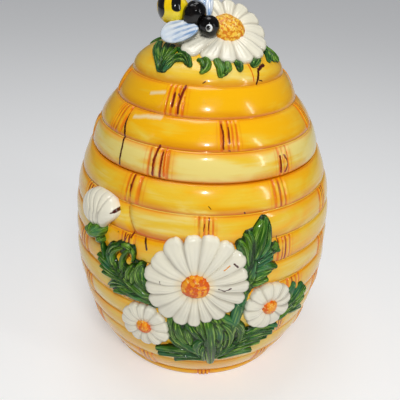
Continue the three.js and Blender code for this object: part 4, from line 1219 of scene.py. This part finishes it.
# Each finger as on the jar, but with its points as an angle and degrees down from the crown
CAP_LEAVES = {
    "cap_leaf_1": [
        (3.4, (-37.5, 71.7), (-42, 53.5), (-78.9, 40.1)),
        (3.0, (-36.7, 71.4), (-40.7, 48.5), (-60.7, 36.8)),
        (2.8, (-36.9, 70.8), (-38.3, 46.1), (-48.9, 36.6)),
        (2.6, (-36, 71.5), (-37.5, 54), (-36.9, 39)), (2.5, (-35, 71.8), (-33.5, 58), (-29.8, 47)),
        (2.4, (-33.5, 72), (-31.5, 63), (-29, 57)), (2.6, (-34.5, 71.8), (-35.5, 60), (-33, 50)),
    ],
    "cap_leaf_2": [
        (2.8, (-36.9, 39), (-20.6, 38.4), (-14, 60.3)), (2.6, (-29.8, 47), (-22.4, 44), (-15.5, 58.7)),
        (2.4, (-29, 57), (-23.5, 49), (-18, 57)),
    ],
    "cap_leaf_3": [
        (3.3, (-2.7, 49), (2.7, 55.8), (-4.3, 68)), (2.5, (-8.3, 50.8), (-3.2, 52.8), (-3.2, 62.4)),
    ],
    "cap_leaf_4": [
        (3.8, (7.1, 49.7), (12, 62.1), (9.3, 72)), (3.1, (16.2, 53.5), (17.4, 60.4), (12.2, 68.2)),
    ],
    "cap_leaf_5": [
        (2.9, (27.2, 54.3), (26.5, 59.5), (24.5, 65.5)),
        (2.4, (22.9, 51.1), (25.8, 54.4), (24.7, 61.3)),
    ],
    "cap_leaf_6": [
        (2.8, (49.1, 53.8), (45.1, 56.8), (38.6, 61.7)),
        (2.4, (44.6, 53.4), (38.5, 56.9), (38.3, 60.4)),
    ],
    "cap_leaf_7": [
        (3.2, (81.7, 43), (72.4, 52.7), (60.3, 59.8)), (3.2, (86, 40), (88, 54), (74, 65.1)),
        (2.8, (75.1, 44), (77.6, 56.2), (68.6, 62.1)),
    ],
    "cap_leaf_8": [
        (3.2, (122, 46), (123, 58), (125, 69)), (2.6, (115, 47), (115, 57), (117, 65)),
        (2.4, (128, 47), (131, 56), (133, 64)),
    ],
    "cap_leaf_9": [
        (3.2, (164, 37), (163, 56), (162, 68)), (2.6, (171, 40), (172, 54), (169, 64)),
        (2.4, (157, 40), (154, 52), (153, 62)),
    ],
    "cap_leaf_10": [
        (3.2, (-158, 37), (-159, 56), (-160, 68)), (2.6, (-151, 40), (-151, 52), (-153, 64)),
        (2.4, (-165, 40), (-167, 52), (-168, 61)),
    ],
    "cap_leaf_11": [
        (3.2, (-128, 48), (-127, 59), (-126, 70)), (2.6, (-135, 49), (-135, 58), (-133, 66)),
        (2.4, (-121, 49), (-119, 57), (-118, 64)),
    ],
}


def on_cap(skin):
    """Lays a skin of millimetres across, up and out onto the domed cap."""
    tilt = -skin[..., 1] / CAP_ARC
    across = skin[..., 0] / CAP_RADIUS
    radius = (CAP_RADIUS + skin[..., 2]) * np.sin(tilt)
    height = LID_HEIGHTS[-1] + (CAP_RISE + skin[..., 2]) * np.cos(tilt)
    return np.stack([radius * np.sin(across), -radius * np.cos(across), height], axis=-1)


for number, (leaf, fingers) in enumerate(CAP_LEAVES.items()):
    down = -np.radians(1) * CAP_ARC
    fingers = [(half, *((angle, tilt * down) for angle, tilt in points)) for half, *points in fingers]
    leaf_piece(
        leaf, fingers, CAP_DEGREE, CAP_LEAF_CREST, CAP_LEAF_STEP, CAP_LEAF_LOW,
        CAP_LEAF_SEED + number, "lid", on_cap,
    )

# The bee stands head down on the top daisy. Its body is three lumps of clay pressed together, glazed
# black with a banded yellow abdomen, and its eyes are small beads of clay stuck on.
BEE_AT = Vector((-10.304, -20.0, 254.5))
BEE_HEADING = Vector((0.82, -0.41, -0.41)).normalized()
BEE_BACK = BEE_HEADING.cross(Vector((0.368, 0.911, -0.184))).normalized()

# Each lump: where its middle is, forwards, aside and up its back, and half its size
BEE_LUMPS = {
    "bee_head": ((13.3, 0, -2.1), (6.8, 6.8, 6.8)),
    "bee_thorax": ((1.2, 0, -1.4), (8, 8, 9.2)),
    "bee_abdomen": ((-13.4, 0, -5.4), (11, 10, 10)),
    "bee_near_eye": ((16.16, -5.44, -2.1), (2.4, 2.6, 2.4)),
    "bee_far_eye": ((16.16, 5.44, -2.1), (2.4, 2.6, 2.4)),
}
LUMP_RINGS = 60
LUMP_COLUMNS = 100

# The way that the bands run round, the way of the belly, and each band's middle, half width and end
BAND_WAY = (0.79, 0.38, 0.48)
BELLY_WAY = (0.59, -0.25, -0.77)
BANDS = ((-7.1, 2.3, 6.8), (2.7, 3.1, 5.3))
COLOURS |= {
    "soot": (4, 3, 3),
    "coal": (24, 18, 15),
    "graphite": (60, 50, 46),
    "pupil": (18, 14, 13),
    "eye_white": (236, 238, 238),
    "lemon": (252, 226, 14),
    "canary": (248, 204, 2),
    "band_black": (10, 7, 8),
}


def frame_at(origin, forward, back):
    """A frame with X forwards and Z up its back."""
    aside = back.cross(forward)
    turned = Matrix((forward, aside, back)).transposed().to_4x4()
    return Matrix.Translation(origin) @ turned


def lump_rings(half, relief):
    """Rings of a lump about its own long axis, from its front to its back."""
    leans = np.linspace(0, np.pi, LUMP_RINGS + 2)[1:-1]
    lean, turn = np.meshgrid(leans, all_round(LUMP_COLUMNS), indexing="ij")
    way = np.stack([np.cos(lean), np.sin(lean) * np.cos(turn), np.sin(lean) * np.sin(turn)], axis=-1)
    size, facts = relief(way)
    return way * np.array(half) * size[..., None], facts


def bead(way, spots, width):
    """1 at the middle of any of the spots, given as directions, and 0 away from them."""
    near = [np.exp(-((np.linalg.norm(way - np.array(Vector(spot).normalized()), axis=-1) / size) ** 2))
            for spot, size in zip(spots, width)]
    return np.max(near, axis=0)


def head_relief(way):
    """The head has a socket for each eye, a brow and a short snout."""
    socket = bead(way, [(0.42, -0.8, 0), (0.42, 0.8, 0)], [0.42, 0.42])
    brow = np.exp(-(((way[..., 2] - 0.35) / 0.16) ** 2)) * ease(way[..., 0], -0.2, 0.5)
    snout = bead(way, [(0.85, 0, -0.5)], [0.4])
    return 0.96 - 0.05 * socket + 0.03 * brow + 0.035 * snout, {"ring": socket}


def thorax_relief(way):
    """The thorax is a lumpy ball."""
    spots = [(0.3, -0.8, 0.5), (-0.4, -0.85, 0.3), (0.1, -0.5, 0.85), (0.1, 0.5, 0.85), (-0.5, 0, 0.9)]
    lumps = bead(way, spots, [0.38, 0.36, 0.4, 0.4, 0.42])
    return 0.93 + 0.06 * lumps, {"ring": lumps}


def abdomen_relief(way):
    """The abdomen swells a little at each of its bands."""
    place = way * np.array(BEE_LUMPS["bee_abdomen"][1])
    band = place @ np.array(BAND_WAY)
    waves = np.cos((band - BANDS[1][0]) * 0.65)
    size = 0.965 + 0.025 * waves * np.sqrt(np.clip(1 - way[..., 0] ** 2, 0, 1))
    return size, {"band": band, "belly": place @ np.array(BELLY_WAY)}


def eye_relief(way):
    """The eyes are beads with a dent round the pupil."""
    outward = np.abs(way[..., 1])
    dent = ease(outward, 0.9, 0.96) * (1 - ease(outward, 0.8, 0.95))
    return 1 - 0.12 * dent, {"band": way[..., 1]}


def black_glaze():
    """Glossy black, with a brown bloom where it is thin on the lumps."""
    glaze = Glaze("black_glaze", 0.14, 0.3, 0.3)
    bloom = glaze.step(glaze.noise(300.0, 2.0), 0.55, 0.8)
    colour = glaze.painted(
        "soot",
        ("coal", glaze.step(glaze.noise(160.0), 0.5, 0.8)),
        ("graphite", glaze.times(glaze.fact("ring"), bloom, 0.35)),
    )
    glaze.relief((glaze.noise(240.0, 2.0), 0.35))
    return glaze.done(colour)


def eye_glaze():
    """A white ring brushed round a black pupil."""
    glaze = Glaze("eye_glaze", 0.14, 0.9)
    shake = glaze.maths("MULTIPLY_ADD", glaze.noise(500.0, 2.0), 0.2, -0.1)
    outward = glaze.maths("ADD", glaze.maths("ABSOLUTE", glaze.fact("band")), shake)
    white = glaze.times(glaze.step(outward, 0.3, 0.42), glaze.step(outward, 0.86, 0.76))
    glaze.relief((glaze.noise(400.0, 2.0), 0.05))
    return glaze.done(glaze.painted("pupil", ("eye_white", white)))


def banded_glaze():
    """Yellow glaze with two black bands whose ends are rounded over the belly."""
    glaze = Glaze("bee_yellow_glaze", 0.16, 0.6)
    shake = glaze.maths("MULTIPLY_ADD", glaze.noise(130.0, 2.0), 1.2, -0.6)
    band = glaze.maths("ADD", glaze.fact("band"), shake)
    belly_place = glaze.fact("belly")
    colour = glaze.painted("lemon", ("canary", glaze.step(glaze.noise(90.0, 2.0), 0.35, 0.7)))
    for middle, half, end in BANDS:
        away = glaze.maths("ABSOLUTE", glaze.maths("SUBTRACT", band, middle))
        rounded = glaze.maths("POWER", glaze.maths("DIVIDE", away, half), 3.0)
        rounded = glaze.maths("MULTIPLY", rounded, -2.0)
        below = glaze.maths("SUBTRACT", belly_place, glaze.maths("ADD", rounded, end))
        black = glaze.times(glaze.step(away, half + 0.25, half - 0.25), glaze.step(below, 0.3, -0.3))
        colour = glaze.painted(colour, ("band_black", black))
    glaze.relief((glaze.noise(200.0, 2.0), 0.12))
    return glaze.done(colour)


bee_frame = frame_at(BEE_AT, BEE_HEADING, BEE_BACK)
bee_black = black_glaze()
bee_eye_white = eye_glaze()
for node, relief, material, slot in (
    ("bee_head", head_relief, bee_black, "black_glaze"),
    ("bee_thorax", thorax_relief, bee_black, "black_glaze"),
    ("bee_abdomen", abdomen_relief, banded_glaze(), "bee_yellow_glaze"),
    ("bee_near_eye", eye_relief, bee_eye_white, "black_glaze"),
    ("bee_far_eye", eye_relief, bee_eye_white, "black_glaze"),
):
    middle, half = BEE_LUMPS[node]
    rings, known = lump_rings(half, relief)
    ringed_piece(
        node + "_clay", node, rings, known, (rings[0].mean(axis=0), rings[-1].mean(axis=0)), material,
        "lid", lambda skin: set_at(bee_frame @ Matrix.Translation(middle), skin),
    )

# The bee's wings: two blades of clay that are widest near the tip, ribbed along their length and stuck
# on at the root. They are glazed white, with blue brushed into the furrows and over the root.
WING_LENGTH = 25
WING_WIDTH = 18
WING_THICKNESS = 2.4
WING_WAIST = 0.58
WING_RIBS = 13
WING_RINGS = 26
WING_COLUMNS = 150
WINGS = {
    "bee_near_wing": ((9.8, -5, -6), (-0.96, 0.2, -0.2), (0.1, -0.55, -0.8)),
    "bee_far_wing": ((8, 6, -1), (-0.25, 0.25, 0.93), (0.9, 0.2, 0.2)),
}
COLOURS |= {
    "ice": (238, 243, 247),
    "mist": (214, 226, 238),
    "sky": (84, 140, 196),
}


def wing_rings():
    """Rings of a rounded blade from the middle of one face round its edge to that of the other."""
    turn = all_round(WING_COLUMNS)
    rings, facts = [], {"rib": [], "along": [], "across": []}
    levels = list(np.linspace(0.03, 1, WING_RINGS))
    for face, reaches in ((1, levels), (-1, levels[-2::-1])):
        for reach in reaches:
            along = (1 - reach * np.cos(turn)) / 2
            half = WING_WIDTH / 2 * (WING_WAIST + (1 - WING_WAIST) * along)
            across = -reach * np.sin(turn)
            edge = np.sqrt(max(0, 1 - max(0, (reach - 0.8) / 0.2) ** 2))
            wave = np.cos(WING_RIBS * (across - 0.8 * along))
            ribbed = 0.78 + 0.2 * wave * ease(along, 0.1, 0.35) * ease(1 - reach, 0, 0.25)
            out = face * WING_THICKNESS / 2 * edge * ribbed
            rings.append(np.stack([WING_LENGTH * along, half * across, out], axis=-1))
            for fact, values in zip(facts, (wave, along, across)):
                facts[fact].append(values)
    return np.array(rings), facts


def wing_glaze():
    """White glaze with blue in the furrows, most of all towards the root."""
    glaze = Glaze("wing_glaze", 0.16, 0.7)
    along = glaze.fact("along")
    brushed = glaze.step(glaze.noise(110.0, 2.0), 0.3, 0.55)
    root = glaze.times(glaze.step(along, 0.32, 0.12), glaze.step(glaze.fact("across"), 0.1, 0.4))
    blue = glaze.times(glaze.step(glaze.fact("rib"), 0.35, -0.8), glaze.step(along, 0.95, 0.4), brushed)
    white = glaze.painted(
        "ice",
        ("mist", glaze.step(glaze.noise(140.0), 0.35, 0.7)),
        ("sky", glaze.times(blue, 0.75)),
        ("sky", glaze.times(root, 0.6)),
    )
    glaze.relief((glaze.noise(200.0, 2.0), 0.1))
    return glaze.done(white)


wing_white = wing_glaze()
for node, (root, forward, side) in WINGS.items():
    rings, known = wing_rings()
    heading = Vector(forward).normalized()
    place = frame_at(bee_frame @ Vector(root), heading, heading.cross(Vector(side)).normalized())
    ringed_piece(
        node + "_clay", node, rings, known, (rings[0].mean(axis=0), rings[-1].mean(axis=0)), wing_white,
        "lid", lambda skin: set_at(place, skin),
    )

# Floor, light and camera: a pale floor under soft studio light, seen from a little above, as the jar
# was photographed. The floor also shows as a pale backdrop, without throwing light on the jar.
FLOOR_SIZE = 6
FLOOR_COLOUR = (0.78, 0.78, 0.77, 1)
FLOOR_ROUGHNESS = 0.6
BACKDROP_COLOUR = (0.97, 0.98, 1, 1)
BACKDROP_GLOW = 0.3
WORLD_COLOUR = (0.9, 0.93, 1.0, 1)
WORLD_STRENGTH = 0.13

# The camera's place in metres, how far it looks down and aside and is rolled, in radians, and its lens
VIEW_AT = Vector((0, -0.359843, 0.301463))
VIEW_DOWN = 0.483954
VIEW_ASIDE = -0.0047565
VIEW_ROLL = 0.0414952
VIEW_LENS = 46.832
SENSOR = 36

# Each lamp: where it stands and what it is aimed at, in metres, its sides, its watts, and whether the
# glaze mirrors it
LAMPS = {
    "flash": ((0.03, -0.85, 0.72), (0, 0, 0.13), (0.05, 0.05), 1.6, True),
    "front_softbox": ((0.13, -0.97, 1.18), (0, 0, 0.15), (0.5, 0.4), 9.2, False),
    "top_softbox": ((-0.1, 0.1, 1.25), (0, 0, 0.1), (0.5, 0.5), 2.8, True),
    "right_strip": ((0.8, -0.5, 0.55), (0, 0, 0.15), (0.06, 0.5), 1.1, True),
    "left_strip": ((-0.8, -0.45, 0.6), (0, 0, 0.15), (0.06, 0.4), 0.06, True),
}


def pale_floor():
    """A pale floor that glows only to the eye and in the glaze, and keeps the jar's shadow."""
    bpy.ops.mesh.primitive_plane_add(size=FLOOR_SIZE)
    floor = bpy.context.object
    floor.name = "floor"
    material = bpy.data.materials.new("pale_floor")
    material.use_nodes = True
    tree = material.node_tree
    shader = tree.nodes["Principled BSDF"]
    shader.inputs["Base Color"].default_value = FLOOR_COLOUR
    shader.inputs["Roughness"].default_value = FLOOR_ROUGHNESS
    shader.inputs["Emission Color"].default_value = BACKDROP_COLOUR
    path = tree.nodes.new("ShaderNodeLightPath")
    seen = path.outputs["Is Camera Ray"]
    for kind, operation in (
        ("Is Glossy Ray", "MAXIMUM"), ("Is Transmission Ray", "MAXIMUM"), (None, "MULTIPLY"),
    ):
        made = tree.nodes.new("ShaderNodeMath")
        made.operation = operation
        made.inputs[1].default_value = BACKDROP_GLOW
        tree.links.new(seen, made.inputs[0])
        if kind:
            tree.links.new(path.outputs[kind], made.inputs[1])
        seen = made.outputs[0]
    tree.links.new(seen, shader.inputs["Emission Strength"])
    floor.data.materials.append(material)


def set_lamps():
    """A flash behind the camera, soft boxes in front and above, and a thin strip at each side."""
    for name, (place, aim, sides, power, mirrored) in LAMPS.items():
        light = bpy.data.lights.new(name, "AREA")
        light.shape = "RECTANGLE"
        light.size, light.size_y = sides
        light.energy = power
        holder = bpy.data.objects.new(name, light)
        holder.location = place
        holder.rotation_euler = (Vector(aim) - Vector(place)).to_track_quat("-Z", "Y").to_euler()
        holder.visible_glossy = mirrored
        bpy.context.scene.collection.objects.link(holder)


def set_camera():
    """The camera at the photograph's viewing angle."""
    camera = bpy.data.objects.new("camera", bpy.data.cameras.new("camera"))
    camera.data.lens = VIEW_LENS
    camera.data.sensor_width = SENSOR
    camera.data.clip_start = 0.01
    forward = Vector((
        np.sin(VIEW_ASIDE) * np.cos(VIEW_DOWN),
        np.cos(VIEW_ASIDE) * np.cos(VIEW_DOWN),
        -np.sin(VIEW_DOWN),
    ))
    right = Vector((np.cos(VIEW_ASIDE), -np.sin(VIEW_ASIDE), 0))
    level = Matrix((right, right.cross(forward), -forward)).transposed()
    turned = level @ Matrix.Rotation(VIEW_ROLL, 3, "Z")
    camera.matrix_world = Matrix.Translation(VIEW_AT) @ turned.to_4x4()
    bpy.context.scene.collection.objects.link(camera)
    bpy.context.scene.camera = camera


def set_world():
    """A dim, even light from the room."""
    world = bpy.data.worlds.new("studio")
    world.use_nodes = True
    background = world.node_tree.nodes["Background"]
    background.inputs["Color"].default_value = WORLD_COLOUR
    background.inputs["Strength"].default_value = WORLD_STRENGTH
    bpy.context.scene.world = world


pale_floor()
set_lamps()
set_camera()
set_world()
bpy.context.scene.view_settings.view_transform = "Standard"
